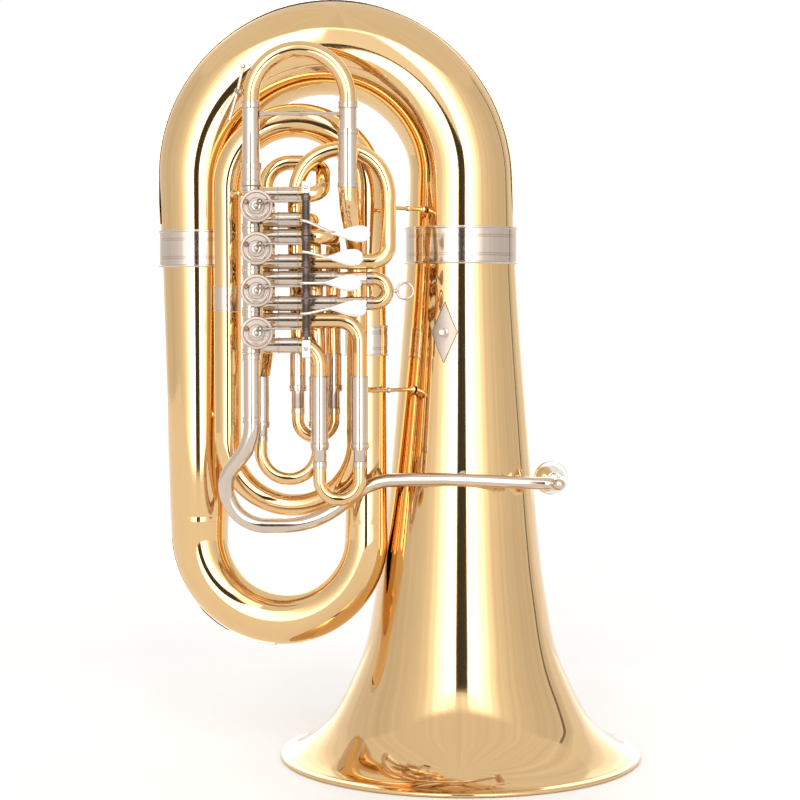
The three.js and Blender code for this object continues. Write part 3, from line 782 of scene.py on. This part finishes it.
def valve(number):
    """A valve's casing, column tubes, port stubs and caps, with the rotor's front inside them."""
    low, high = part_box(f"valve_casing_{number}")
    cap_low, cap_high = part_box(f"valve_cap_{number}")
    rotor_front_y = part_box(f"rotor_{number}")[0].y
    centre = (cap_low + cap_high) / 2
    back = Vector((centre.x, high.y, centre.z))
    front_y = cap_high.y + 0.3 * MM
    radius = (cap_high.x - cap_low.x) / 2
    casing_radius = radius - 1.8 * MM
    length = high.y - front_y
    rim = radius - 0.6 * MM
    # Casing: a turned barrel with a shoulder at each end and a raised band in the middle.
    barrel = [
        (0, rim), (3 * MM, rim), (3.6 * MM, casing_radius), (length - 7 * MM, casing_radius),
        (length - 6.4 * MM, rim), (length - 4 * MM, rim), (length - 3.6 * MM, casing_radius - 1.5 * MM),
        (length, casing_radius - 2 * MM), (length + 0.5 * MM, casing_radius * 0.5),
    ]
    mesh_data = bmesh.new()
    origin = Vector((centre.x, front_y, centre.z))
    turned(mesh_data, origin, TO_BACK, barrel, 64)
    casing = to_object(f"valve_casing_{number}_skin", mesh_data, BRASS)
    place_piece(casing, "horn", "lacquered_brass", f"valve_casing_{number}")
    # Short column tubes above and below, and the stubs that lead to the slide tubes.
    sleeve_low, sleeve_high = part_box("main_sleeve_left")
    column_x = (sleeve_low.x + sleeve_high.x) / 2
    column_y = (sleeve_low.y + sleeve_high.y) / 2
    column = 10.1 * MM
    for label, start, end in (("below", low.z, centre.z - 10 * MM), ("above", centre.z + 10 * MM, high.z)):
        turned_piece(
            f"valve_{number}_column_{label}", "horn", (column_x, column_y, start), UP,
            [(0, column), (end - start, column)], NICKEL, 40)
        mouth = Vector((column_x, column_y, start if label == "below" else end - 5 * MM))
        collar(f"valve_{number}_column_ring_{label}", mouth, UP, column, 5 * MM)
    slide = ("first", "second", "third", "fourth")[number - 1]
    for which in ("inner", "outer"):
        point, way, tube_radius = valve_end(f"{slide}_slide_tube_{which}")
        reach = point.x - centre.x - 6 * MM
        stub = tube_radius - 0.05 * MM
        turned_piece(
            f"valve_{number}_port_{which}", "horn", point, -way, [(0, stub), (reach, stub)], NICKEL, 40)
    # Front cap: scalloped rim, dished face and the raised bearing boss.
    cap_origin = Vector((centre.x, cap_high.y, centre.z))
    thickness = cap_high.y - cap_low.y
    face = radius * 0.82
    cap_profile = [
        (0, radius - 0.4 * MM, False), (0.6 * MM, radius, True), (thickness - 1.2 * MM, radius, True),
        (thickness - 0.4 * MM, radius - 0.9 * MM, False), (thickness - 0.2 * MM, face, False),
        (thickness - 1.4 * MM, face - 0.8 * MM, False), (thickness - 1.4 * MM, radius * 0.5, False),
        (thickness - 0.6 * MM, radius * 0.46, False), (thickness - 0.5 * MM, radius * 0.2, False),
    ]
    mesh_data = bmesh.new()
    knurled(mesh_data, cap_origin, TO_FRONT, cap_profile, 36, 0.45 * MM)
    cap = to_object(f"valve_cap_{number}_skin", mesh_data, SATIN_NICKEL)
    place_piece(cap, "horn", "nickel_silver", f"valve_cap_{number}")
    face_y = cap_low.y + 1.3 * MM
    valve_stops(number, Vector((centre.x, face_y, centre.z)), radius)
    rotor_front(number, centre, rotor_front_y)
    back_cap(number, back, casing_radius)


def valve_stops(number, face, radius):
    """The stops on the cap: two corks in holders, two screws and a curved bridge."""
    ring_radius = radius * 0.66
    for side, angle in (("left", math.radians(158)), ("right", math.radians(22))):
        spot = face + Vector((math.cos(angle), 0, math.sin(angle))) * ring_radius
        turned_piece(
            f"bumper_holder_{number}_{side}", "horn", spot, TO_FRONT,
            mm((0, 3.4), (3.4, 3.4), (3.8, 3.0)), NICKEL, 24)
        turned_piece(
            f"bumper_cork_{number}_{side}", "horn", spot + Vector((0, -3.6 * MM, 0)), TO_FRONT,
            mm((0, 2.2), (0.8, 2.2), (1.2, 1.7)), CORK, 20)
    for side, angle in (("left", math.radians(228)), ("right", math.radians(312))):
        spot = face + Vector((math.cos(angle), 0, math.sin(angle))) * ring_radius
        screw(f"cap_screw_{number}_{side}", spot, TO_FRONT, 2.1 * MM)
    steps = 14
    points = []
    for k in range(steps + 1):
        angle = math.radians(200 + 140 * k / steps)
        spoke = Vector((math.cos(angle), 0, math.sin(angle))) * ring_radius
        points.append(face + spoke + Vector((0, -0.6 * MM, 0)))
    swept_piece(f"bumper_bridge_{number}", "horn", points, [1.1 * MM] * len(points), 12, NICKEL)


def rotor_front(number, centre, front_y):
    """The spindle, hub, stop arm and pin that turn with the rotor, and the rotor's drum."""
    body = f"rotor_{number}"
    low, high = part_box(body)
    axis_point = Vector((centre.x, high.y, centre.z))
    drum_length = 41 * MM
    drum = (high.z - low.z) / 2 - 0.2 * MM
    stem = high.y - front_y
    spindle, hub = 3.2 * MM, 5.8 * MM
    profile = [
        (0, drum - 1 * MM), (0.8 * MM, drum), (drum_length - 0.8 * MM, drum), (drum_length, drum - 1 * MM),
        (drum_length + 0.3 * MM, spindle), (stem - 6 * MM, spindle), (stem - 6 * MM, hub),
        (stem - 3.2 * MM, hub), (stem - 2.6 * MM, 5.0 * MM), (stem - 2.6 * MM, spindle),
        (stem - 1.6 * MM, 2.6 * MM),
    ]
    mesh_data = bmesh.new()
    turned(mesh_data, axis_point, TO_FRONT, profile, 48)
    place_piece(to_object(f"rotor_{number}_skin", mesh_data, NICKEL), body, "plain_brass", body)
    # The stop arm is a tapered bar through the hub, with the link pin on its long end.
    reach = 7 * MM
    slant = Vector((1, 0, 1)).normalized()
    across = Vector((-1, 0, 1)).normalized()
    arm_y = front_y + 3.4 * MM
    outline = mm((-6.5, 2.2), (-3, 3.6), (3, 3.6), (7, 2.9))
    one_side = [slant * a + across * h for a, h in outline]
    other_side = [slant * a - across * h for a, h in reversed(outline)]
    ring = one_side + other_side
    mesh_data = bmesh.new()
    base = [mesh_data.verts.new(Vector((centre.x, arm_y, centre.z)) + p) for p in ring]
    top = [mesh_data.verts.new(Vector((centre.x, arm_y + 2 * MM, centre.z)) + p) for p in ring]
    mesh_data.faces.new(base)
    mesh_data.faces.new(top)
    for k in range(len(ring)):
        n = (k + 1) % len(ring)
        mesh_data.faces.new((base[k], base[n], top[n], top[k]))
    arm = to_object(f"stop_arm_{number}", mesh_data, SATIN_NICKEL)
    soften(arm, 0.4 * MM, 2)
    place_piece(arm, body)
    pin_at = Vector((centre.x, arm_y, centre.z)) + slant * reach
    turned_piece(
        f"stop_pin_{number}", body, pin_at, TO_FRONT, mm((0, 2.2), (2.2, 2.2), (2.9, 1.5)), STEEL, 24)
    screw(f"spindle_screw_{number}", (centre.x, front_y + 2.4 * MM, centre.z), TO_FRONT, 2.6 * MM, body)


def back_cap(number, back, radius):
    """A scalloped cap with a centre boss on the casing's back."""
    mesh_data = bmesh.new()
    profile = [
        (-1.5 * MM, radius - 1.6 * MM, False), (-1.2 * MM, radius - 0.8 * MM, True),
        (3.2 * MM, radius - 0.8 * MM, True),
        (4.4 * MM, radius - 2 * MM, False), (4.8 * MM, radius * 0.6, False), (4.2 * MM, radius * 0.5, False),
        (4.6 * MM, radius * 0.2, False),
    ]
    knurled(mesh_data, back, TO_BACK, profile, 32, 0.45 * MM)
    place_piece(to_object(f"valve_back_cap_{number}", mesh_data, NICKEL), "horn")


for valve_number in range(1, 5):
    valve(valve_number)


# ---------------------------------------------------------------- levers, links and rack
def hinge_point(body):
    joint = next(j for j in frame["joints"] if j["child"] == body)
    return Vector(joint["pos_m"])


def finger_plate(name, tip, length, half, body):
    """A domed teardrop finger plate, its tip to the left, as one smooth closed form."""
    steps = 40
    outline = []
    for k in range(steps):
        angle = 2 * math.pi * k / steps
        x = 0.5 * (1 - math.cos(angle))
        y = math.sin(angle) * (0.10 + 1.28 * x**1.1)
        outline.append((x * length, y * half))
    thickness = 2.2 * MM
    middle = Vector((length * 0.6, 0, 0))
    layers = [
        (0.30, -0.55), (0.62, -0.42), (0.86, -0.14), (0.97, 0.18), (1.0, 0.5),
        (0.985, 0.8), (0.95, 0.98), (0.6, 0.88), (0.3, 0.84),
    ]
    rings = []
    for scale, depth in layers:
        ring = []
        for x, y in outline:
            px = middle.x + (x - middle.x) * scale
            ring.append(tip + Vector((px, -thickness * 0.5 + depth * thickness, y * scale)))
        rings.append(ring)
    mesh_data = bmesh.new()
    capped_grid(mesh_data, rings)
    place_piece(to_object(name, mesh_data, SATIN_SILVER), body, "nickel_silver")


def lever(number):
    """A finger lever: hub, return spring, arm, finger plate and tail, with its link rod."""
    node = f"finger_lever_{number}"
    body = f"lever_{number}"
    right_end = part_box(node)[1].x
    link_low, link_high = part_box(f"link_rod_{number}")
    pivot = hinge_point(body)
    plate_length = 48 * MM
    plate_half = 11 * MM
    plate_x = right_end - plate_length
    verts = [v.co for v in frame["nodes"][node].data.vertices]
    wide = [v for v in verts if v.x > right_end - 14 * MM]
    plate_z = (min(v.z for v in wide) + max(v.z for v in wide)) / 2
    plate_y = sum(v.y for v in wide) / len(wide)
    hub = [v for v in verts if abs(v.x - pivot.x) < 5.6 * MM and abs(v.y - pivot.y) < 5.4 * MM]
    hub_low, hub_high = min(v.z for v in hub), max(v.z for v in hub)
    height = hub_high - hub_low
    # Hub: a sleeve with a ferrule at each end and an open stretch that shows the return spring.
    hub_profile = [
        (0, 2.7 * MM), (0, 5.4 * MM), (0.4 * MM, 5.8 * MM), (3.6 * MM, 5.8 * MM), (4 * MM, 5.2 * MM),
        (6 * MM, 5.2 * MM), (6.2 * MM, 3.9 * MM), (height - 6.2 * MM, 3.9 * MM), (height - 6 * MM, 5.2 * MM),
        (height - 4 * MM, 5.2 * MM), (height - 3.6 * MM, 5.8 * MM), (height - 0.4 * MM, 5.8 * MM),
        (height, 5.4 * MM), (height, 2.7 * MM),
    ]
    origin = Vector((pivot.x, pivot.y, hub_low))
    # Hubs and springs are near-black: painted shade, as the nickel axle lies in shade.
    turned_piece(
        node + "_hub", body, origin, UP, hub_profile, DARK_STEEL_AND_SHADE, 36, True, replaced=node)
    turns = (height - 14 * MM) / (1.7 * MM)
    coil = []
    steps = int(turns * 14)
    for k in range(steps + 1):
        angle = 2 * math.pi * turns * k / steps
        rise = 7 * MM + (height - 14 * MM) * k / steps
        coil.append(origin + Vector((4.7 * MM * math.cos(angle), 4.7 * MM * math.sin(angle), rise)))
    swept_piece(f"return_spring_{number}", body, coil, [0.62 * MM] * len(coil), 8, DARK_STEEL_AND_SHADE)
    # Arm: a flattened bar that leaves the hub and bends to the finger plate.
    arms = sorted(v.z for v in verts if v.x < pivot.x - 6.5 * MM)
    arm_z = (arms[0] + arms[-1]) / 2 if arms else plate_z
    arm_y = pivot.y - 6 * MM
    tip = Vector((plate_x, plate_y, plate_z))
    ends = [
        Vector((pivot.x - 6.5 * MM, arm_y, arm_z)), Vector((pivot.x + 2 * MM, arm_y - 0.3 * MM, arm_z)),
        Vector((pivot.x + 10 * MM, arm_y - 1 * MM, arm_z * 0.75 + plate_z * 0.25)),
        Vector((plate_x - 2 * MM, plate_y, plate_z)),
        Vector((plate_x + 16 * MM, plate_y + 0.6 * MM, plate_z)),
    ]
    points = []
    for t in [k / 24 for k in range(25)]:
        row = ends
        while len(row) > 1:
            row = [a.lerp(b, t) for a, b in zip(row, row[1:])]
        points.append(row[0])
    radii = [2.3 * MM - 0.6 * MM * k / 24 for k in range(25)]
    swept_piece(f"lever_arm_{number}", body, points, radii, 16, NICKEL)
    finger_plate(f"finger_plate_{number}", tip, plate_length, plate_half, body)
    # Tail: from the hub back to under the link's ball end.
    tail_z = link_low.z - 1.9 * MM
    tail_y = (link_low.y + link_high.y) / 2
    half = 1.9 * MM
    tail_low = (pivot.x - half, pivot.y + 3.6 * MM, tail_z - 1.4 * MM)
    tail_high = (pivot.x + half, tail_y + 2.6 * MM, tail_z + 1.4 * MM)
    box_piece(f"lever_tail_{number}", body, tail_low, tail_high, NICKEL, 0.7 * MM)
    link(number, link_low, link_high, tail_y)


def link(number, low, high, y):
    """A link rod with a lock nut, a ring end over the stop pin and a ball end over the lever's tail."""
    body = f"link_{number}"
    z = (low.z + high.z) / 2
    left = Vector((low.x + 3.4 * MM, y, z))
    right = Vector((high.x - 3.2 * MM, y, z))
    rod = [left + Vector((2.6 * MM, 0, 0)), right - Vector((2 * MM, 0, 0))]
    swept_piece(f"link_rod_{number}_skin", body, rod, [1.25 * MM] * 2, 20, STEEL, f"link_rod_{number}")
    turned_piece(
        f"link_eye_{number}", body, left + Vector((0, 2 * MM, 0)), TO_FRONT,
        mm((0, 2.9), (0.5, 3.4), (3.4, 3.4), (3.9, 2.9)), NICKEL, 28)
    screw(f"link_eye_screw_{number}", left + Vector((0, -1.9 * MM, 0)), TO_FRONT, 1.7 * MM, body)
    angles = [math.radians(a) for a in range(170, 5, -15)]
    ball = [(2.8 * MM * math.cos(a), 3.2 * MM * math.sin(a)) for a in angles]
    turned_piece(f"link_ball_{number}", body, right, DOWN, ball, NICKEL, 28)
    for label, start in (("left", left.x + 5 * MM), ("right", right.x - 7.6 * MM)):
        turned_piece(
            f"link_nut_{number}_{label}", body, (start, y, z), RIGHT,
            mm((0, 1.9), (0.3, 2.2), (2.3, 2.2), (2.6, 1.9)), NICKEL, 6)


for lever_number in range(1, 5):
    lever(lever_number)


def rack():
    """The hinge rod and its two brackets, each with a square plate and a screw in front."""
    low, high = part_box("lever_rack")
    pivot = hinge_point("lever_1")
    x, y = pivot.x, pivot.y
    # The hinge rod is near-black: painted shade on the nickel axle, which lies in shade.
    turned_piece(
        "lever_rack_skin", "horn", (x, y, low.z + 1 * MM), UP,
        [(0, 2.2 * MM), (high.z - low.z - 2 * MM, 2.2 * MM)], DARK_STEEL_AND_SHADE, 24, replaced="lever_rack")
    half, inset = 5 * MM, 3 * MM
    for label, start, end in (("low", low.z, low.z + 21 * MM), ("high", high.z - 14 * MM, high.z)):
        plate_low, plate_high = (x - half, y - half, start), (x + half, y + half, end)
        box_piece(f"rack_plate_{label}", "horn", plate_low, plate_high, SATIN_SILVER, 1.6 * MM, 4)
        bracket_low = (x - inset, y + inset, start + inset)
        bracket_high = (x + inset, high.y - 0.2 * MM, end - inset)
        box_piece(f"rack_bracket_{label}", "horn", bracket_low, bracket_high, NICKEL, 1.0 * MM)
        screw(f"rack_screw_{label}", (x, y - half, (start + end) / 2), TO_FRONT, 2.7 * MM)


rack()


# ---------------------------------------------------------------- small pieces
def stay_piece(node, body="horn"):
    """A round stay with a flange and a turned bead at each end, between the CAD stay's two ends."""
    mesh = frame["nodes"][node].data
    verts = [v.co.copy() for v in mesh.vertices]
    middle = sum(verts, Vector()) / len(verts)
    far = max(verts, key=lambda v: (v - middle).length)
    side_a = [v for v in verts if (v - middle).dot(far - middle) > 0]
    side_b = [v for v in verts if (v - middle).dot(far - middle) <= 0]
    one = sum(side_a, Vector()) / len(side_a)
    two = sum(side_b, Vector()) / len(side_b)
    axis = (one - two).normalized()
    reach = max((v - middle).dot(axis) for v in verts)
    length = 2 * reach
    start = middle - axis * reach
    thin, foot = 2.3 * MM, 4.6 * MM
    bulge = [(0, foot), (0.8 * MM, foot), (2.2 * MM, foot * 0.72), (3.4 * MM, thin * 1.35), (4.4 * MM, thin)]
    if length < 16 * MM:
        bulge = [(0, foot), (1.2 * MM, foot), (2.6 * MM, thin * 1.3), (3.4 * MM, thin)]
    half = length / 2
    waist = [
        (half - 1.6 * MM, thin), (half - 0.8 * MM, thin * 1.5),
        (half + 0.8 * MM, thin * 1.5), (half + 1.6 * MM, thin),
    ]
    profile = bulge + waist + [(length - along, radius) for along, radius in reversed(bulge)]
    slot = NODE_SLOT[node]
    turned_piece(
        node + "_skin", body, start, axis, profile, SLOT_MATERIAL[slot], 28, slot=slot, replaced=node)


for stay in ("bell_stay_upper", "bell_stay_lower", "branch_stay", "valve_stay"):
    stay_piece(stay)
stay_piece("main_slide_stay", "main_slide")


def pull_ring():
    low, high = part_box("second_slide_ring")
    wire = 1.5 * MM
    radius = (high.z - low.z) / 2 - wire
    centre = Vector((high.x - radius - wire, (low.y + high.y) / 2, (low.z + high.z) / 2))
    points = []
    steps = 64
    for k in range(steps):
        angle = 2 * math.pi * k / steps
        points.append(centre + Vector((math.cos(angle), 0, math.sin(angle))) * radius)
    rings = []
    for point in points:
        away = (point - centre).normalized()
        angles = [2 * math.pi * m / 14 for m in range(14)]
        bends = [(away * (wire * math.cos(a)), Vector((0, wire * math.sin(a), 0))) for a in angles]
        rings.append([point + outward + aside for outward, aside in bends])
    mesh_data = bmesh.new()
    add_grid(mesh_data, rings, closed_rings=True)
    ring = to_object("second_slide_ring_skin", mesh_data, NICKEL)
    place_piece(ring, "second_slide", "nickel_silver", "second_slide_ring")
    turned_piece(
        "second_slide_ring_eye", "second_slide", (low.x - 0.6 * MM, centre.y, centre.z), RIGHT,
        mm((0, 2.4), (1, 2.6), (2.2, 1.8), (3.4, 1.8), (4.4, 2.3), (5.2, 1.6)), NICKEL, 24)


pull_ring()


def key():
    """The water key: a bent lever on a saddle, with its cup, cork pad and a barrel at the pivot."""
    low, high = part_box("water_key")
    pivot = hinge_point("water_key")
    y = pivot.y
    stops = [
        Vector((low.x + 2.4 * MM, y, low.z + 2.5 * MM)), Vector((pivot.x - 3.5 * MM, y, pivot.z - 12 * MM)),
        Vector((pivot.x, y, pivot.z)), Vector((pivot.x + 4.5 * MM, y, pivot.z + 20 * MM)),
        Vector((high.x - 6 * MM, y, high.z - 5 * MM)),
    ]
    points = []
    for t in [k / 30 for k in range(31)]:
        place = t * (len(stops) - 1)
        k = min(int(place), len(stops) - 2)
        share = place - k
        share = share * share * (3 - 2 * share) * 0.5 + share * 0.5
        points.append(stops[k] + (stops[k + 1] - stops[k]) * share)
    radii = [2.4 * MM - 0.7 * MM * math.sin(math.pi * k / 30) for k in range(31)]
    swept_piece("water_key_skin", "water_key", points, radii, 16, NICKEL, "water_key")
    cup_axis = Vector((high.x - 3 * MM, y, high.z - 9 * MM)) - Vector((low.x + 16 * MM, y, high.z - 1 * MM))
    cup_point = Vector((high.x - 8.5 * MM, y, high.z - 4.2 * MM))
    cup = mm((0, 1.6), (0.6, 3.2), (3.4, 3.4))
    turned_piece("water_key_cup", "water_key", cup_point, cup_axis, cup, NICKEL, 28)
    pad_point = cup_point + cup_axis.normalized() * 3.3 * MM
    turned_piece("water_key_cork", "water_key", pad_point, cup_axis, mm((0, 2.9), (1.4, 2.9)), CORK, 24)
    turned_piece(
        "water_key_barrel", "water_key", (pivot.x, y - 5 * MM, pivot.z), TO_BACK,
        mm((0, 2.6), (0.6, 3.2), (9.4, 3.2), (10, 2.6)), NICKEL, 28)
    turned_piece(
        "water_key_saddle", "main_slide", (pivot.x + 3.4 * MM, y, pivot.z), RIGHT,
        mm((0, 2.6), (1.5, 2.6), (3.4, 4.6)), NICKEL, 28)


key()


def mouthpiece():
    centres = tube_rings("mouthpiece")[0]
    low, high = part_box("mouthpiece")
    origin = Vector((centres[0].x, low.y, centres[0].z))
    length = high.y - low.y
    outer = [
        (0, 6.0), (12, 6.4), (24, 6.6), (25.5, 6.3), (28, 6.9), (30.5, 8.2), (33.5, 10.2),
        (37, 12.6), (42, 15.2), (48, 17.4), (54, 18.7), (60, 19.3), (63.5, 19.4), (64.6, 20.4),
        (66, 21.0), (68, 21.0), (69.4, 20.3), (70, 19.0),
    ]
    inner = [
        (69.8, 17.9), (68.6, 16.7), (66, 16.0), (60, 15.4), (54, 14.4), (48, 12.8), (42, 10.6),
        (36, 7.6), (31, 4.8), (27.5, 3.9), (20, 4.1), (10, 4.7), (0, 5.2),
    ]
    share = length / (70 * MM)
    profile = [(along * MM * share, radius * MM) for along, radius in outer + inner]
    turned_piece(
        "mouthpiece_skin", "horn", origin, TO_BACK, profile, SILVER, 72, True, "silver_plate", "mouthpiece")


mouthpiece()


def leadpipe_ferrules():
    points, radii, _ = TUBE_PATHS["leadpipe"]
    top = max(range(len(points)), key=lambda i: points[i].z)
    collar("leadpipe_top_ferrule", points[top], DOWN, radii[top], 8 * MM)
    joint = Vector((points[top].x, points[top].y, points[top].z - 75 * MM))
    collar("leadpipe_joint_ferrule", joint, DOWN, radii[top], 7 * MM)
    across = [i for i, p in enumerate(points) if 40 * MM < p.x]
    last = max(across, key=lambda i: points[i].y)
    collar("receiver_lip", points[last] - Vector((0, 5 * MM, 0)), TO_BACK, radii[last], 5 * MM)
    # A turned post holds the leadpipe off the bell.
    post_height = 0.353
    near = min(range(len(points)), key=lambda i: abs(points[i].x - BELL_X) + abs(points[i].z - post_height))
    point, radius = points[near], radii[near]
    foot = Vector((BELL_X, -bell_radius(point.z), point.z))
    axis = Vector((point.x, point.y + radius, point.z)) - foot
    length = axis.length
    tip = [(length - 1.5 * MM, 4.4 * MM), (length + 1 * MM, 5.6 * MM)]
    profile = mm((-0.4, 9), (0.8, 8.6), (2, 5)) + tip
    turned_piece("leadpipe_clamp", "horn", foot, axis, profile, NICKEL, 32)


leadpipe_ferrules()


def hand_guard():
    """The diamond plate follows the bell's surface; a short post stands on it."""
    low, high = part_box("bell_guard_plate")
    middle = (low + high) / 2
    verts = [v.co for v in frame["nodes"]["bell_guard_plate"].data.vertices]
    top = max(verts, key=lambda v: v.z)
    centre_angle = math.atan2(top.x - BELL_X, -top.y)
    half_height = (high.z - low.z) / 2
    half_angle = 16.4 * MM / bell_radius(middle.z)
    steps = 16
    rings = []
    for level in range(-steps, steps + 1):
        share = level / steps
        z = middle.z + share * half_height * 0.995
        reach = half_angle * (1 - abs(share)) + 0.004
        radius = bell_radius(z)
        front, back = [], []
        for k in range(13):
            angle = centre_angle + reach * (k / 6 - 1)
            way = Vector((math.sin(angle), -math.cos(angle), 0))
            front.append(Vector((BELL_X, 0, z)) + way * (radius + 1.0 * MM))
            back.append(Vector((BELL_X, 0, z)) + way * (radius + 0.1 * MM))
        rings.append(front + back[::-1])
    mesh_data = bmesh.new()
    capped_grid(mesh_data, rings)
    plate = to_object("bell_guard_plate_skin", mesh_data, SATIN_NICKEL)
    place_piece(plate, "horn", "nickel_silver", "bell_guard_plate")
    corners = [(0, 1), (1, 0), (0, -1), (-1, 0), (0, 1)]
    outline = []
    for (a0, h0), (a1, h1) in zip(corners, corners[1:]):
        for k in range(20):
            share = k / 20
            z = middle.z + (h0 + (h1 - h0) * share) * half_height * 0.97
            angle = centre_angle + (a0 + (a1 - a0) * share) * half_angle * 0.97
            way = Vector((math.sin(angle), -math.cos(angle), 0))
            outline.append(Vector((BELL_X, 0, z)) + way * (bell_radius(z) + 0.9 * MM))
    radii = [0.45 * MM] * (len(outline) + 1)
    swept_piece("bell_guard_edge", "horn", outline + outline[:1], radii, 8, DARK_STEEL_AND_SHADE)
    way = Vector((math.sin(centre_angle), -math.cos(centre_angle), 0))
    start = Vector((BELL_X, 0, middle.z)) + way * (bell_radius(middle.z) + 0.9 * MM)
    profile = mm((0, 5.4), (0.8, 5.2), (1.8, 3.4), (9, 3.2), (9.6, 4.2), (12, 4.2), (12.8, 3.2))
    turned_piece("bell_guard_post", "horn", start, way, profile, NICKEL, 32)


hand_guard()


# ---------------------------------------------------------------- studio
# Degrees: the top of the front lights, and where the dark edge of the right one is.
LIGHT_TOP = 38
EDGE_AZIMUTH = 113


def make_world():
    """A pale studio: two tall soft lights beside a dark gap in front, and a bright wall behind."""
    world = bpy.data.worlds.new("studio")
    bpy.context.scene.world = world
    world.use_nodes = True
    tree = world.node_tree
    tree.nodes.clear()
    out = tree.nodes.new("ShaderNodeOutputWorld")
    place = tree.nodes.new("ShaderNodeTexCoord")
    split = tree.nodes.new("ShaderNodeSeparateXYZ")
    tree.links.new(place.outputs["Generated"], split.inputs["Vector"])

    def math_node(operation, one, two=None):
        node = tree.nodes.new("ShaderNodeMath")
        node.operation = operation
        for socket, value in zip(node.inputs, (one, two)):
            if value is None:
                continue
            if isinstance(value, (int, float)):
                socket.default_value = value
            else:
                tree.links.new(value, socket)
        return node.outputs[0]

    front = math_node("MULTIPLY", split.outputs["Y"], -1)
    azimuth = math_node("ABSOLUTE", math_node("ARCTAN2", split.outputs["X"], front))
    height = math_node("ARCSINE", split.outputs["Z"])
    level = math_node("ABSOLUTE", height)

    def ramp(value, stops):
        """Brightness against an angle in degrees, as a smooth ramp over 180 degrees."""
        node = tree.nodes.new("ShaderNodeValToRGB")
        node.color_ramp.interpolation = "EASE"
        elements = node.color_ramp.elements
        while len(elements) < len(stops):
            elements.new(0.5)
        peak = max(bright for _, bright in stops)
        for element, (angle, bright) in zip(elements, stops):
            element.position = angle / 180
            shade = bright / peak
            element.color = (shade, shade, shade, 1)
        tree.links.new(math_node("DIVIDE", value, math.pi), node.inputs["Fac"])
        return math_node("MULTIPLY", node.outputs["Color"], peak)

    around = ramp(azimuth, [
        (0, 4.3), (19, 4.0), (28, 2.7), (37, 1.5), (46, 1.08), (60, 0.90), (88, 0.78), (116, 0.80),
        (138, 1.0), (152, 1.5), (168, 2.4), (180, 2.8),
    ])
    # The lights end at LIGHT_TOP degrees up; above them is an even pale ceiling.
    ceiling = 0.9
    below_top = ramp(level, [(0, 1.0), (LIGHT_TOP - 1, 1.0), (LIGHT_TOP + 2, 0.0), (90, 0.0)])
    strength = math_node("MULTIPLY", math_node("SUBTRACT", around, ceiling), below_top)
    strength = math_node("ADD", strength, ceiling)
    # Faint upright streaks, as a pleated light cloth gives.
    streaks = tree.nodes.new("ShaderNodeTexNoise")
    streaks.noise_dimensions = "1D"
    streaks.inputs["Scale"].default_value = 7.0
    streaks.inputs["Detail"].default_value = 3.0
    signed = math_node("ARCTAN2", split.outputs["X"], front)
    tree.links.new(signed, streaks.inputs["W"])
    ripple = math_node("MULTIPLY", math_node("SUBTRACT", streaks.outputs["Fac"], 0.5), 0.34)
    strength = math_node("MULTIPLY", strength, math_node("ADD", ripple, 1.0))
    # The dark gap in front, and a narrow dark edge far round to the right.
    gap_side = ramp(azimuth, [(0, 1.0), (6.5, 1.0), (8.5, 0.0), (180, 0.0)])
    dark = math_node("MULTIPLY", gap_side, below_top)
    edge = math_node("COMPARE", signed, math.radians(EDGE_AZIMUTH))
    edge.node.inputs[2].default_value = math.radians(1.6)
    edge = math_node("MULTIPLY", math_node("MULTIPLY", edge, below_top), 0.75)
    light = math_node("SUBTRACT", 1.0, math_node("MAXIMUM", math_node("MULTIPLY", dark, 0.985), edge))
    strength = math_node("MULTIPLY", strength, light)
    studio = tree.nodes.new("ShaderNodeBackground")
    studio.inputs["Color"].default_value = (1, 0.985, 0.96, 1)
    tree.links.new(strength, studio.inputs["Strength"])
    white = tree.nodes.new("ShaderNodeBackground")
    white.inputs["Color"].default_value = (1, 1, 1, 1)
    white.inputs["Strength"].default_value = 1.0
    rays = tree.nodes.new("ShaderNodeLightPath")
    mix = tree.nodes.new("ShaderNodeMixShader")
    tree.links.new(rays.outputs["Is Camera Ray"], mix.inputs["Fac"])
    tree.links.new(studio.outputs["Background"], mix.inputs[1])
    tree.links.new(white.outputs["Background"], mix.inputs[2])
    tree.links.new(mix.outputs["Shader"], out.inputs["Surface"])


make_world()
bpy.context.scene.view_settings.view_transform = "Standard"


# The floor ends a little behind the camera, so upright tubes mirror the dark gap above its edge.
FLOOR_FRONT = -2.62


def make_floor():
    mesh_data = bmesh.new()
    corners = [(-6, FLOOR_FRONT, 0), (6, FLOOR_FRONT, 0), (6, 6, 0), (-6, 6, 0)]
    mesh_data.faces.new([mesh_data.verts.new(corner) for corner in corners])
    material, tree, shader = new_material("floor")
    tone = noise_value(tree, 2.0)
    colour = ramp_between(tree, tone, (0.90, 0.90, 0.90), (0.93, 0.93, 0.93))
    tree.links.new(colour, shader.inputs["Base Color"])
    shader.inputs["Roughness"].default_value = 0.9
    floor = to_object("floor", mesh_data, material)
    floor.location.z = -0.0005


make_floor()


def overhead_light():
    """A soft light above the camera's line of sight, which keeps the top bow's crown bright."""
    width, height, brightness = 0.9, 1.0, 1.1
    data = bpy.data.lights.new("overhead", "AREA")
    data.shape = "RECTANGLE"
    data.size = width
    data.size_y = height
    data.energy = brightness * math.pi * width * height
    light = bpy.data.objects.new("overhead", data)
    bpy.context.scene.collection.objects.link(light)
    light.location = (0, -1.2, 0.95 + height / 2)
    light.rotation_euler = (math.pi / 2, 0, 0)
    light.visible_camera = False
    # The bell's flare would mirror this light as a bright patch, so the light leaves the bell out.
    left_out = bpy.data.collections.new("not_lit_from_overhead")
    left_out.objects.link(bpy.data.objects["bell_skin"])
    light.light_linking.receiver_collection = left_out
    for entry in left_out.collection_objects:
        entry.light_linking.link_state = "EXCLUDE"


overhead_light()
